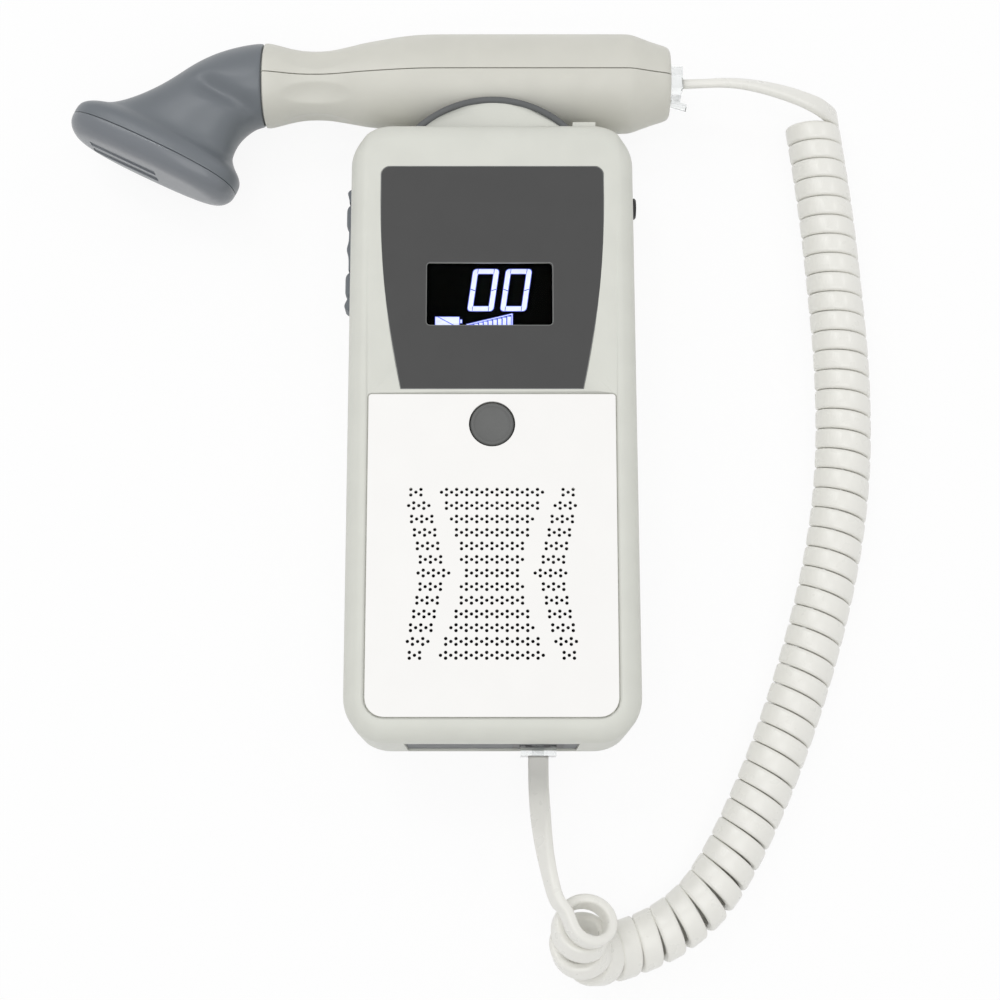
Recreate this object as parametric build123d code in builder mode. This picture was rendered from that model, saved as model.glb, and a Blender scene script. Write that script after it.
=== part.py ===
"""A handheld Doppler unit with a corded probe, lying on its back.

The unit's back is on Z = 0 with its centre at the origin. +Y points to the end that carries
the probe, +X to the side with the headphone socket. Lengths are in millimetres.
"""

from build123d import *
import bisect
import math
import os

os.makedirs("parts", exist_ok=True)

# Case
case_length = 171.0
case_width = 79.6
case_depth = 38.0
case_corner = 12.0
front_round = 5.5
back_round = 3.5
wall = 2.2
front_wall = 2.6
fit_gap = 0.3
face_gap = 0.05
top_end = case_length / 2
parting_z = case_depth / 2
front_inside = case_depth - front_wall
inner_side = case_width / 2 - wall

# Main board and the case screws that clamp it
board_side_margin = 4.1
board_end_margin = 2.8
board_corner = 7.0
board_thickness = 1.4
board_lift = 2.1
screw_side_inset = 3.0
screw_end_inset = 5.0
screw_radius = 1.2
screw_head_radius = 2.6
screw_head_height = 2.0
screw_sink = 3.5
screw_bite = 9.0
boss_radius = 4.2
board_width = 2 * (inner_side - board_side_margin)
board_length = case_length - 2 * (wall + board_end_margin)
board_z = parting_z + board_lift
board_top = board_z + board_thickness
screw_x = board_width / 2 - screw_side_inset
screw_y = board_length / 2 - screw_end_inset

# Probe cradle on the top end
probe_stand_off = 18.9
handle_radius = 14.06
cradle_radius = 28.8
cradle_set_back = 21.0
cradle_half_depth = 12.5
liner_thickness = 1.6
bead_width = 1.8
tab_width = 6.4
tab_x = 25.7
tab_reach = 2.7
tab_thickness = 2.0
tab_lift = 10.0
probe_y = top_end + probe_stand_off
probe_z = parting_z
liner_bore = handle_radius + fit_gap
cradle_bore = liner_bore + liner_thickness

# Display and its overlay
overlay_thickness = 0.4
overlay_end_margin = 13.5
overlay_shoulder = 10.0
overlay_top_inset = 9.2
overlay_middle_inset = 10.8
overlay_bottom_inset = 15.2
overlay_gap = 1.4
overlay_corner = 2.6
window_width = 34.5
window_height = 18.1
window_x = -0.85
window_drop = 36.7
window_corner = 1.0
lens_thickness = 1.4
lcd_width = 41.0
lcd_height = 28.0
lcd_thickness = 3.5
lcd_chamfer = 0.4
backlight_thickness = 2.0
leg_size = 3.0

# Speaker plate and its holes
plate_side_margin = 6.7
plate_end_margin = 6.5
plate_top = 7.3
plate_thickness = 1.0
plate_sink = 0.1
plate_groove = 0.35
plate_corner = 5.0
plate_top_corner = 0.8
hole_size = 1.5
hole_pitch = 4.02
row_pitch = 3.62
grille_rise = 37.75
wing_offset = 15.4
wing_lean = 0.8
grille_open = 47.0
grille_open_corner = 4.0
plate_width = case_width - 2 * plate_side_margin
plate_bottom = plate_end_margin - top_end
overlay_top = top_end - overlay_end_margin
overlay_bottom = plate_top + overlay_gap
window_y = overlay_top - window_drop
grille_y = plate_bottom + grille_rise

# Speaker
speaker_size = 50.5
speaker_corner = 6.0
speaker_flange = 1.0
mesh_thickness = 0.3
basket_radius = 23.0
basket_foot_radius = 17.0
basket_depth = 7.5
sheet = 0.8
magnet_radius = 16.0
magnet_height = 3.2
dome_radius = 7.0
dish_depth = 5.0

# Power button and the switches on the board
button_y = -0.9
button_radius = 5.85
button_gap = 0.35
button_flange_radius = 7.4
button_flange = 1.0
button_bevel = 0.5
button_stem_radius = 2.5
button_travel = 0.8
switch_size = 6.0
switch_height = 3.5

# Side keypad with its two keys
keypad_from_end = 32.2
keypad_length = 36.0
keypad_height = 8.0
keypad_proud = 0.3
keypad_rim = 1.5
keypad_flange = 1.2
keypad_round = 0.9
key_spacing = 20.0
key_length = 6.6
key_height = 5.0
key_proud = 1.1
key_round = 0.7
key_rim = 0.8
key_flange = 0.7
key_travel = 0.8
side_switch_depth = 3.4
side_switch_drop = 4.1
nub_radius = 1.2
nub_proud = 0.3
keypad_y = top_end - keypad_from_end

# Headphone socket
socket_from_end = 18.7
socket_ring_radius = 3.0
socket_ring_proud = 0.9
socket_ring_bevel = 0.4
socket_bore_radius = 1.8
socket_depth = 14.0
socket_body_width = 7.0
socket_body_height = 5.8
socket_y = top_end - socket_from_end
socket_z = board_z - socket_body_height / 2

# Modular plugs, their jacks and the panel round the unit's jack
plug_width = 9.65
plug_height = 6.6
plug_length = 13.0
plug_gap = 0.2
plug_chamfer = 0.5
contact_count = 4
contact_pitch = 1.02
contact_thickness = 0.36
contact_length = 5.0
contact_depth = 1.8
contact_sink = 0.4
slot_width = 0.56
latch_width = 3.2
latch_shoulder_width = 6.0
latch_shoulder = 5.6
latch_thickness = 1.0
latch_root = 1.6
latch_length = 12.6
latch_angle = 15.0
channel_depth = 4.0
channel_width = 6.8
nose_gap = 0.3
jack_wall = 1.8
jack_back = 1.4
jack_head = 5.8
unit_plug_x = 12.45
unit_plug_proud = 2.2
panel_width = 46.0
panel_low = 5.6
panel_high = 31.0
panel_thickness = 1.6
panel_sink = 0.6
unit_plug_z = board_z - jack_head

# Battery bay, cells and door
cell_radius = 7.1
cell_length = 48.7
cell_nub_radius = 2.7
cell_nub = 1.3
cell_pitch = 15.4
bay_from_end = 19.5
bay_length = 56.0
bay_side_gap = 0.4
bay_wall = 1.5
contact_plate = 0.5
contact_size = 10.0
spring_radius = 4.0
spring_tip_radius = 2.5
spring_sides = 8
door_width = 40.0
door_flange = 1.2
door_rim = 2.0
door_top_gap = 2.0
groove_count = 5
groove_pitch = 2.4
groove_width = 1.2
groove_depth = 0.6
groove_length = 16.0
grooves_from_end = 14.0
door_flange_z = wall + fit_gap
door_inside = door_flange_z + door_flange
bay_floor = door_inside + fit_gap
bay_bottom = bay_from_end - top_end
bay_top = bay_bottom + bay_length
bay_middle = bay_bottom + bay_length / 2
bay_half = cell_pitch / 2 + cell_radius + bay_side_gap
cell_z = bay_floor + fit_gap + cell_radius
bay_roof = cell_z + cell_radius + fit_gap
door_top = bay_top + door_top_gap
rail_half = door_width / 2 + door_rim + fit_gap

# Probe handle: distances are from its neck, where the head joins it
neck_x = -66.2
neck_radius = 12.3
neck_slope = -0.3
grip = [(7.2, 10.45), (14.2, 9.6), (21.2, 10.05), (30.2, 12.0), (42.2, 13.55)]
barrel_start = 58.2
barrel_end = 103.2
handle_length = 117.6
end_radius = 8.3
end_wall = 4.2
shell_wall = 2.0
seam_drop = 1.2
dimple_count = 6
dimple_first = 34.0
dimple_from_neck = 14.7
dimple_depth = 0.45
dimple_curve = 32.8
dimple_width = 8.0
spigot_radius = 9.0
spigot_length = 3.0
probe_board_width = 13.2
probe_board_length = 80.0
probe_board_from_neck = 12.2
probe_board_thickness = 1.4
web_thickness = 2.0
webs = [46.2, 80.2]
probe_jack_wall = 1.0
jack_bevel = 1.5
probe_plug_proud = 3.0
handle_end_x = neck_x + handle_length
cavity_end_x = handle_end_x - end_wall

# Probe head: places are from the neck's centre, the second number across the handle's axis
face_length = 52.5
face_width = 27.0
face_corner = 11.0
face_centre = (-33.2, -26.5)
face_lean = 26.0
face_round = 4.0
foot_round = 3.6
cap_thickness = 5.4
foot_thickness = 4.8
bar_length = 21.4
bar_width = 3.4
bar_spacing = 8.4
bar_shift = 6.0
bar_recess = 0.4
cap_skin = 1.0
crystal_thickness = 1.0
pocket_length = 34.0
pocket_width = 17.0
pocket_corner = 3.0
# Cross-sections of the neck: heel place, crown place, half width
neck_sections = [
    ((0.0, -neck_radius), (0.0, neck_radius), neck_radius),
    ((-4.4, -15.1), (-9.3, 11.0), 12.0),
    ((-7.0, -19.2), (-20.3, 6.2), 11.6),
    ((-7.7, -22.8), (-31.3, -1.6), 11.2),
    ((-7.5, -26.0), (-41.8, -5.7), 11.4),
    ((-7.0, -28.4), (-50.2, -7.5), 11.5),
]

# Cord: flat, four cores, curled between a short lead to the unit and one to the probe
cord_width = 5.0
cord_thickness = 2.65
curl_diameter = 15.5
curl_count = 46.41
curl_start = -15.0
curls_in_a_sweep = 6
loose_growth = 1.4
loose_length = 40.0
loose_opening = 0.28
turning_reach = 18.0
bend_reach = 9.0
coil_axis = [
    (92.6, 101.0, 8.0),
    (97.0, 75.0, 8.0),
    (98.6, 47.0, 8.0),
    (99.8, 20.0, 8.0),
    (98.8, -8.0, 8.0),
    (94.2, -34.0, 8.0),
    (86.4, -61.0, 8.0),
    (77.2, -86.0, 8.0),
    (66.8, -110.0, 8.0),
    (56.0, -127.5, 8.0),
    (43.1, -138.1, 9.7),
    (32.9, -136.8, 14.7),
    (27.6, -137.8, 22.6),
    (23.7, -131.6, 33.3),
]
unit_lead_points = [
    (12.45, -94.3, 15.3),
    (12.3, -101.6, 16.9),
    (11.5, -114.6, 23.1),
]
probe_lead_points = [
    (61.2, 104.4, 19.0),
    (72.5, 102.6, 18.3),
]
unit_lead_end_run = 7.0
probe_lead_end_run = 6.5
arc_share = 0.45

front_plane = Plane.XY.offset(case_depth)
parting_plane = Plane.XY.offset(parting_z)
screw_places = [(side * screw_x, end * screw_y) for end in (1, -1) for side in (-1, 1)]


def case_plan(inset):
    """The case's outline seen from the front, drawn in by inset."""
    RectangleRounded(case_width - 2 * inset, case_length - 2 * inset, case_corner - inset)


def cradle_plan(radius, start_y):
    """The arc of the cradle on the top end, from start_y outwards."""
    with Locations((0, top_end - cradle_set_back)):
        Circle(radius)
    with Locations((0, start_y)):
        Rectangle(3 * radius, 2 * radius, align=(Align.CENTER, Align.MIN), mode=Mode.INTERSECT)


def cut_probe_groove(radius):
    """A round groove along the probe's axis."""
    with Locations(Plane(origin=(0, probe_y, probe_z), z_dir=(1, 0, 0))):
        Cylinder(radius, case_width + 2 * cradle_radius, mode=Mode.SUBTRACT)


def cut_shared_openings():
    """Openings on the parting line: side keypad, headphone socket and connector panel."""
    with Locations((-case_width / 2, keypad_y, parting_z)):
        Box(4 * wall, keypad_length, keypad_height, mode=Mode.SUBTRACT)
    with Locations(Plane(origin=(case_width / 2, socket_y, socket_z), z_dir=(1, 0, 0))):
        Cylinder(socket_ring_radius + fit_gap, 4 * wall, mode=Mode.SUBTRACT)
    with Locations((0, -top_end, (panel_low + panel_high) / 2)):
        height = panel_high - panel_low + 2 * face_gap
        Box(panel_width + 2 * face_gap, 4 * wall, height, mode=Mode.SUBTRACT)


def overlay_plan(gap):
    """The display overlay's outline: straight shoulders, then sides that curve in downwards."""
    half = case_width / 2 - overlay_top_inset + gap
    middle = case_width / 2 - overlay_middle_inset + gap
    low = case_width / 2 - overlay_bottom_inset + gap
    top, bottom = overlay_top + gap, overlay_bottom - gap
    shoulder = overlay_top - overlay_shoulder
    middle_y = (shoulder + overlay_bottom) / 2
    with BuildLine() as outline:
        Polyline((-half, shoulder), (-half, top), (half, top), (half, shoulder))
        ThreePointArc((half, shoulder), (middle, middle_y), (low, bottom))
        Line((low, bottom), (-low, bottom))
        ThreePointArc((-low, bottom), (-middle, middle_y), (-half, shoulder))
    make_face(outline.edges())


def plate_plan(gap):
    """The speaker plate's outline, grown by gap, with rounder corners at its lower end."""
    with Locations((0, (plate_top + plate_bottom) / 2)):
        Rectangle(plate_width + 2 * gap, plate_top - plate_bottom + 2 * gap)
    fillet(vertices().group_by(Axis.Y)[0], plate_corner + gap)
    fillet(vertices().group_by(Axis.Y)[-1], plate_top_corner + gap)


def grille_points():
    """Hole centres in thirteen rows: a waisted block in the middle with a wing on each side."""
    points = []
    for row in range(-6, 7):
        away = abs(row)
        wing_x = wing_offset + wing_lean * away
        middle_holes = (3, 5, 4, 5, 6, 6, 7)[away]
        wing_holes = (2, 1, 1, 1, 1, 2, 1)[away]
        for centre, holes in ((0, middle_holes), (-wing_x, wing_holes), (wing_x, wing_holes)):
            first = centre - (holes - 1) * hole_pitch / 2
            y = grille_y + row * row_pitch
            points += [(first + hole * hole_pitch, y) for hole in range(holes)]
    return points


with BuildPart() as front_housing:
    with BuildSketch(parting_plane):
        case_plan(0)
    extrude(amount=case_depth - parting_z)
    fillet(front_housing.edges().group_by(Axis.Z)[-1], front_round)
    with BuildSketch(parting_plane):
        cradle_plan(cradle_radius, top_end - wall / 2)
    extrude(amount=cradle_half_depth)
    with Locations((tab_x, top_end, parting_z + tab_lift)):
        Box(tab_width, 2 * tab_reach, tab_thickness)
    with BuildSketch(parting_plane):
        case_plan(wall)
    extrude(amount=front_inside - parting_z, mode=Mode.SUBTRACT)
    cut_probe_groove(cradle_bore)
    # Bosses that press on the board and take the screws
    with BuildSketch(Plane.XY.offset(board_top)):
        with Locations(*screw_places):
            Circle(boss_radius)
    extrude(amount=front_inside - board_top)
    with BuildSketch(Plane.XY.offset(board_top)):
        with Locations(*screw_places):
            Circle(screw_radius + face_gap)
    extrude(amount=screw_bite + fit_gap, mode=Mode.SUBTRACT)
    # Seats and openings in the front
    with BuildSketch(front_plane):
        overlay_plan(face_gap)
    extrude(amount=-overlay_thickness, mode=Mode.SUBTRACT)
    with BuildSketch(front_plane):
        plate_plan(plate_groove)
    extrude(amount=-plate_thickness - plate_sink, mode=Mode.SUBTRACT)
    with BuildSketch(front_plane):
        with Locations((window_x, window_y)):
            RectangleRounded(window_width, window_height, window_corner)
        with Locations((0, grille_y)):
            RectangleRounded(grille_open, grille_open, grille_open_corner)
        with Locations((0, button_y)):
            Circle(button_radius + button_gap)
    extrude(amount=-front_wall, mode=Mode.SUBTRACT)
    cut_shared_openings()
front_housing.part.label = "front_housing"
export_step(front_housing.part, "parts/front_housing.step")


def case_back():
    """The lower half's outer form; the battery door is cut from it too."""
    with BuildSketch() as plan:
        case_plan(0)
    extrude(plan.sketch, amount=parting_z)
    fillet(edges().group_by(Axis.Z)[0], back_round)


with BuildPart() as rear_housing:
    case_back()
    with BuildSketch(parting_plane):
        cradle_plan(cradle_radius, top_end - wall / 2)
    extrude(amount=-cradle_half_depth)
    with BuildSketch(Plane.XY.offset(wall)):
        case_plan(wall)
    extrude(amount=parting_z - wall, mode=Mode.SUBTRACT)
    cut_probe_groove(cradle_bore)
    # Bosses that the board rests on
    with BuildSketch(Plane.XY.offset(wall)):
        with Locations(*screw_places):
            Circle(boss_radius)
    extrude(amount=board_z - wall)
    with BuildSketch():
        with Locations(*screw_places):
            Circle(screw_head_radius + fit_gap)
    extrude(amount=screw_sink, mode=Mode.SUBTRACT)
    with BuildSketch():
        with Locations(*screw_places):
            Circle(screw_radius + fit_gap)
    extrude(amount=board_z, mode=Mode.SUBTRACT)
    # Battery bay: a tub open to the back, with a footed rail along each side for the door
    bay_plane = Plane(origin=(0, bay_middle, 0), x_dir=(1, 0, 0), z_dir=(0, -1, 0))
    with BuildSketch(bay_plane):
        with Locations((0, bay_floor)):
            tub_height = bay_roof + bay_wall - bay_floor
            Rectangle(2 * (bay_half + bay_wall), tub_height, align=(Align.CENTER, Align.MIN))
            Rectangle(2 * (rail_half + bay_wall), bay_wall, align=(Align.CENTER, Align.MIN))
        with Locations((-rail_half - bay_wall / 2, wall), (rail_half + bay_wall / 2, wall)):
            Rectangle(bay_wall, bay_floor + bay_wall - wall, align=(Align.CENTER, Align.MIN))
    extrude(amount=bay_length / 2 + bay_wall, both=True)
    with BuildSketch(bay_plane):
        with Locations((0, bay_floor)):
            Rectangle(2 * bay_half, bay_roof - bay_floor, align=(Align.CENTER, Align.MIN))
    extrude(amount=bay_length / 2, both=True, mode=Mode.SUBTRACT)
    # Way for the door: an opening in the back and a slot in the lower end
    with Locations((0, door_top, 0)):
        door_way = top_end + door_top + wall
        Box(door_width, door_way, wall, align=(Align.CENTER, Align.MAX, Align.MIN), mode=Mode.SUBTRACT)
    with Locations((0, -top_end, wall)):
        Box(2 * rail_half, 4 * wall, bay_floor - wall,
            align=(Align.CENTER, Align.CENTER, Align.MIN), mode=Mode.SUBTRACT)
    cut_shared_openings()
rear_housing.part.label = "rear_housing"
export_step(rear_housing.part, "parts/rear_housing.step")

with BuildPart() as battery_door:
    case_back()
    door_end_plane = Plane(origin=(0, door_top - fit_gap, 0), x_dir=(1, 0, 0), z_dir=(0, -1, 0))
    with BuildSketch(door_end_plane):
        Rectangle(door_width - 2 * fit_gap, door_inside, align=(Align.CENTER, Align.MIN))
        with Locations((0, door_flange_z)):
            Rectangle(door_width + 2 * door_rim, door_flange, align=(Align.CENTER, Align.MIN))
    extrude(amount=case_length, mode=Mode.INTERSECT)
    # Grooves for a fingertip
    with Locations((0, grooves_from_end - top_end, 0)):
        with GridLocations(0, groove_pitch, 1, groove_count):
            Box(groove_length, groove_width, 2 * groove_depth, mode=Mode.SUBTRACT)
battery_door.part.label = "battery_door"
export_step(battery_door.part, "parts/battery_door.step")

with BuildPart() as case_screws:
    with BuildSketch(Plane.XY.offset(screw_sink - screw_head_height)):
        with Locations(*screw_places):
            Circle(screw_head_radius)
    extrude(amount=screw_head_height)
    with BuildSketch(Plane.XY.offset(screw_sink)):
        with Locations(*screw_places):
            Circle(screw_radius)
    extrude(amount=board_top + screw_bite - screw_sink)
case_screws.part.label = "case_screws"
export_step(case_screws.part, "parts/case_screws.step")

with BuildPart(mode=Mode.PRIVATE) as cradle_block:
    with BuildSketch(Plane.XY.offset(parting_z - cradle_half_depth)):
        cradle_plan(cradle_radius, top_end - wall / 2)
    extrude(amount=2 * cradle_half_depth)
    cut_probe_groove(cradle_bore)

with BuildPart() as cradle_liner:
    # A bead along the arc and a lining in the groove, as one rubber piece
    with BuildSketch(Plane.XY.offset(parting_z - cradle_half_depth)):
        cradle_plan(cradle_radius + bead_width, top_end)
    extrude(amount=2 * cradle_half_depth)
    add(cradle_block.part, mode=Mode.SUBTRACT)
    cut_probe_groove(liner_bore)
cradle_liner.part.label = "cradle_liner"
export_step(cradle_liner.part, "parts/cradle_liner.step")

with BuildPart() as display_overlay:
    with BuildSketch(front_plane):
        overlay_plan(0)
        with Locations((window_x, window_y)):
            RectangleRounded(window_width, window_height, window_corner, mode=Mode.SUBTRACT)
    extrude(amount=-overlay_thickness)
display_overlay.part.label = "display_overlay"
export_step(display_overlay.part, "parts/display_overlay.step")

with BuildPart() as display_window:
    with BuildSketch(Plane.XY.offset(front_inside)):
        with Locations((window_x, window_y)):
            lens_width, lens_height = window_width - 2 * face_gap, window_height - 2 * face_gap
            RectangleRounded(lens_width, lens_height, window_corner - face_gap)
    extrude(amount=lens_thickness)
display_window.part.label = "display_window"
export_step(display_window.part, "parts/display_window.step")

with BuildPart() as lcd_module:
    with BuildSketch(Plane.XY.offset(front_inside)):
        with Locations((window_x, window_y)):
            Rectangle(lcd_width, lcd_height)
    extrude(amount=-lcd_thickness)
    chamfer(lcd_module.edges().group_by(Axis.Z)[-1], lcd_chamfer)
lcd_module.part.label = "lcd_module"
export_step(lcd_module.part, "parts/lcd_module.step")

lcd_back = front_inside - lcd_thickness
with BuildPart() as backlight:
    with BuildSketch(Plane.XY.offset(lcd_back)):
        with Locations((window_x, window_y)):
            Rectangle(lcd_width, lcd_height)
    extrude(amount=-backlight_thickness)
    with BuildSketch(Plane.XY.offset(board_top)):
        with Locations((window_x, window_y)):
            with GridLocations(lcd_width - leg_size, lcd_height - leg_size, 2, 2):
                Rectangle(leg_size, leg_size)
    extrude(amount=lcd_back - backlight_thickness - board_top)
backlight.part.label = "backlight"
export_step(backlight.part, "parts/backlight.step")

with BuildPart() as speaker_plate:
    with BuildSketch(front_plane.offset(-plate_sink)):
        plate_plan(0)
        with Locations((0, button_y)):
            Circle(button_radius + button_gap, mode=Mode.SUBTRACT)
        with Locations(*grille_points()):
            Rectangle(hole_size, hole_size, rotation=45, mode=Mode.SUBTRACT)
    extrude(amount=-plate_thickness)
speaker_plate.part.label = "speaker_plate"
export_step(speaker_plate.part, "parts/speaker_plate.step")

with BuildPart() as dust_mesh:
    with BuildSketch(Plane.XY.offset(front_inside)):
        with Locations((0, grille_y)):
            RectangleRounded(speaker_size, speaker_size, speaker_corner)
    extrude(amount=-mesh_thickness)
dust_mesh.part.label = "dust_mesh"
export_step(dust_mesh.part, "parts/dust_mesh.step")

flange_front = front_inside - mesh_thickness
flange_back = flange_front - speaker_flange
basket_back = flange_back - basket_depth
with BuildPart() as speaker_driver:
    # A square flange with the basket's cone behind it
    with BuildSketch(Plane.XY.offset(flange_back)):
        with Locations((0, grille_y)):
            RectangleRounded(speaker_size, speaker_size, speaker_corner)
    extrude(amount=speaker_flange)
    with Locations((0, grille_y, basket_back)):
        Cone(basket_foot_radius, basket_radius, basket_depth, align=(Align.CENTER, Align.CENTER, Align.MIN))
    # Dished front
    with Locations((0, grille_y, flange_front)):
        Cone(dome_radius, basket_radius - sheet, dish_depth,
             align=(Align.CENTER, Align.CENTER, Align.MAX), mode=Mode.SUBTRACT)
speaker_driver.part.label = "speaker_driver"
export_step(speaker_driver.part, "parts/speaker_driver.step")

with BuildPart() as speaker_magnet:
    with BuildSketch(Plane.XY.offset(basket_back)):
        with Locations((0, grille_y)):
            Circle(magnet_radius)
    extrude(amount=-magnet_height)
speaker_magnet.part.label = "speaker_magnet"
export_step(speaker_magnet.part, "parts/speaker_magnet.step")

with BuildPart() as main_board:
    with BuildSketch(Plane.XY.offset(board_z)):
        RectangleRounded(board_width, board_length, board_corner)
        with Locations(*screw_places):
            Circle(screw_radius + fit_gap, mode=Mode.SUBTRACT)
    extrude(amount=board_thickness)
main_board.part.label = "main_board"
export_step(main_board.part, "parts/main_board.step")

with BuildPart() as power_switch:
    with Locations((0, button_y, board_top)):
        Box(switch_size, switch_size, switch_height, align=(Align.CENTER, Align.CENTER, Align.MIN))
power_switch.part.label = "power_switch"
export_step(power_switch.part, "parts/power_switch.step")

with BuildPart() as power_button:
    flange_low = front_inside - fit_gap - button_flange
    stem_end = board_top + switch_height + button_travel + fit_gap
    with BuildSketch(Plane.XY.offset(flange_low)):
        with Locations((0, button_y)):
            Circle(button_radius)
    extrude(amount=case_depth - flange_low)
    chamfer(power_button.edges().group_by(Axis.Z)[-1], button_bevel)
    with BuildSketch(Plane.XY.offset(flange_low)):
        with Locations((0, button_y)):
            Circle(button_flange_radius)
    extrude(amount=button_flange)
    with BuildSketch(Plane.XY.offset(stem_end)):
        with Locations((0, button_y)):
            Circle(button_stem_radius)
    extrude(amount=flange_low - stem_end)
power_button.part.label = "power_button"
export_step(power_button.part, "parts/power_button.step")

# The keypad's flange lies behind the side wall, and each key's flange behind the keypad's
keypad_flange_x = -inner_side + fit_gap
key_flange_x = keypad_flange_x + keypad_flange + fit_gap
side_switch_x = key_flange_x + key_flange + key_travel + fit_gap
key_places = {"volume_up": keypad_y + key_spacing / 2, "volume_down": keypad_y - key_spacing / 2}

with BuildPart() as side_keypad:
    with Locations((keypad_flange_x, keypad_y, parting_z)):
        strip_depth = case_width / 2 + keypad_proud + keypad_flange_x
        Box(strip_depth, keypad_length - 2 * fit_gap, keypad_height - 2 * fit_gap,
            align=(Align.MAX, Align.CENTER, Align.CENTER))
    fillet(side_keypad.edges().filter_by(Axis.X), keypad_round)
    with Locations((keypad_flange_x, keypad_y, parting_z)):
        Box(keypad_flange, keypad_length + 2 * keypad_rim, keypad_height + 2 * keypad_rim,
            align=(Align.MIN, Align.CENTER, Align.CENTER))
    with BuildSketch(Plane(origin=(-case_width / 2, keypad_y, parting_z), z_dir=(-1, 0, 0))):
        Circle(nub_radius)
    extrude(amount=keypad_proud + nub_proud)
    with Locations(*[(-case_width / 2, key_y, parting_z) for key_y in key_places.values()]):
        Box(4 * wall, key_length + 2 * fit_gap, key_height + 2 * fit_gap, mode=Mode.SUBTRACT)
side_keypad.part.label = "side_keypad"
export_step(side_keypad.part, "parts/side_keypad.step")

for key_name, key_y in key_places.items():
    with BuildPart() as volume_key:
        with Locations((key_flange_x, key_y, parting_z)):
            Box(case_width / 2 + key_proud + key_flange_x, key_length, key_height,
                align=(Align.MAX, Align.CENTER, Align.CENTER))
        fillet(volume_key.edges().group_by(Axis.X)[0], key_round)
        with Locations((key_flange_x, key_y, parting_z)):
            Box(key_flange, key_length + 2 * key_rim, key_height + 2 * key_rim,
                align=(Align.MIN, Align.CENTER, Align.CENTER))
    volume_key.part.label = f"{key_name}_key"
    export_step(volume_key.part, f"parts/{key_name}_key.step")

    with BuildPart() as volume_switch:
        with Locations((side_switch_x, key_y, board_z)):
            Box(side_switch_depth, key_length, side_switch_drop,
                align=(Align.MIN, Align.CENTER, Align.MAX))
    volume_switch.part.label = f"{key_name}_switch"
    export_step(volume_switch.part, f"parts/{key_name}_switch.step")

with BuildPart() as headphone_jack:
    ring_face_x = case_width / 2 + socket_ring_proud
    socket_plane = Plane(origin=(ring_face_x, socket_y, socket_z), z_dir=(1, 0, 0))
    with BuildSketch(socket_plane):
        Circle(socket_ring_radius)
    extrude(amount=inner_side - ring_face_x)
    chamfer(headphone_jack.edges().group_by(Axis.X)[-1], socket_ring_bevel)
    with Locations((inner_side, socket_y, socket_z)):
        Box(socket_depth - wall, socket_body_width, socket_body_height,
            align=(Align.MAX, Align.CENTER, Align.CENTER))
    with BuildSketch(socket_plane):
        Circle(socket_bore_radius)
    extrude(amount=-socket_depth, mode=Mode.SUBTRACT)
headphone_jack.part.label = "headphone_jack"
export_step(headphone_jack.part, "parts/headphone_jack.step")

# Each plug is drawn from its nose: x across, y away from the latch, z back towards the cord
unit_plug_rear = Vector(unit_plug_x, -top_end - unit_plug_proud, unit_plug_z)
unit_nose = Plane(
    origin=unit_plug_rear + Vector(0, plug_length, 0),
    x_dir=(1, 0, 0),
    z_dir=(0, -1, 0),
)
probe_plug_rear = Vector(handle_end_x + probe_plug_proud, probe_y, probe_z)
probe_nose = Plane(
    origin=probe_plug_rear - Vector(plug_length, 0, 0),
    x_dir=(0, 0, -1),
    z_dir=(1, 0, 0),
)


def cut_plug_way(nose):
    """The clear way for a plug and its latch, from just before the nose to the plug's rear."""
    with BuildSketch(nose.offset(-nose_gap)) as way:
        Rectangle(plug_width + 2 * plug_gap, plug_height + 2 * plug_gap)
        with Locations((0, -plug_height / 2)):
            Rectangle(channel_width, channel_depth, align=(Align.CENTER, Align.MAX))
    extrude(way.sketch, amount=plug_length + nose_gap, mode=Mode.SUBTRACT)


with BuildPart() as unit_jack:
    panel_face = panel_sink - top_end
    jack_width = plug_width + 2 * (plug_gap + jack_wall)
    jack_low = unit_plug_z - plug_height / 2 - channel_depth - jack_wall
    jack_depth = unit_plug_rear.Y + plug_length + jack_back - panel_face
    with Locations((unit_plug_x, panel_face, jack_low)):
        Box(jack_width, jack_depth, board_z - jack_low, align=(Align.CENTER, Align.MIN, Align.MIN))
    cut_plug_way(unit_nose)
unit_jack.part.label = "unit_jack"
export_step(unit_jack.part, "parts/unit_jack.step")

with BuildPart() as connector_panel:
    with Locations((0, panel_face, (panel_low + panel_high) / 2)):
        Box(panel_width, panel_thickness, panel_high - panel_low,
            align=(Align.CENTER, Align.MIN, Align.CENTER))
    with Locations((unit_plug_x, panel_face, (jack_low + board_z) / 2)):
        Box(jack_width + 2 * face_gap, 4 * panel_thickness, board_z - jack_low + 2 * face_gap,
            mode=Mode.SUBTRACT)
connector_panel.part.label = "connector_panel"
export_step(connector_panel.part, "parts/connector_panel.step")


def plug_body(nose):
    """A clear modular plug with slots for its contacts on the side away from the latch."""
    with BuildSketch(nose) as outline:
        Rectangle(plug_width, plug_height)
    extrude(outline.sketch, amount=plug_length)
    chamfer(faces().sort_by_distance(nose.origin)[0].edges(), plug_chamfer)
    with BuildSketch(nose) as slots:
        with Locations((0, plug_height / 2)):
            with GridLocations(contact_pitch, 0, contact_count, 1):
                Rectangle(slot_width, 2 * contact_depth)
    extrude(slots.sketch, amount=contact_length, mode=Mode.SUBTRACT)


def plug_contacts(nose):
    """Thin blades standing in the plug's slots."""
    with BuildSketch(nose.offset(plug_chamfer)) as blades:
        with Locations((0, plug_height / 2 - contact_sink)):
            with GridLocations(contact_pitch, 0, contact_count, 1):
                blade = contact_depth - contact_sink
                Rectangle(contact_thickness, blade, align=(Align.CENTER, Align.MAX))
    extrude(blades.sketch, amount=contact_length - plug_chamfer)


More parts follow.
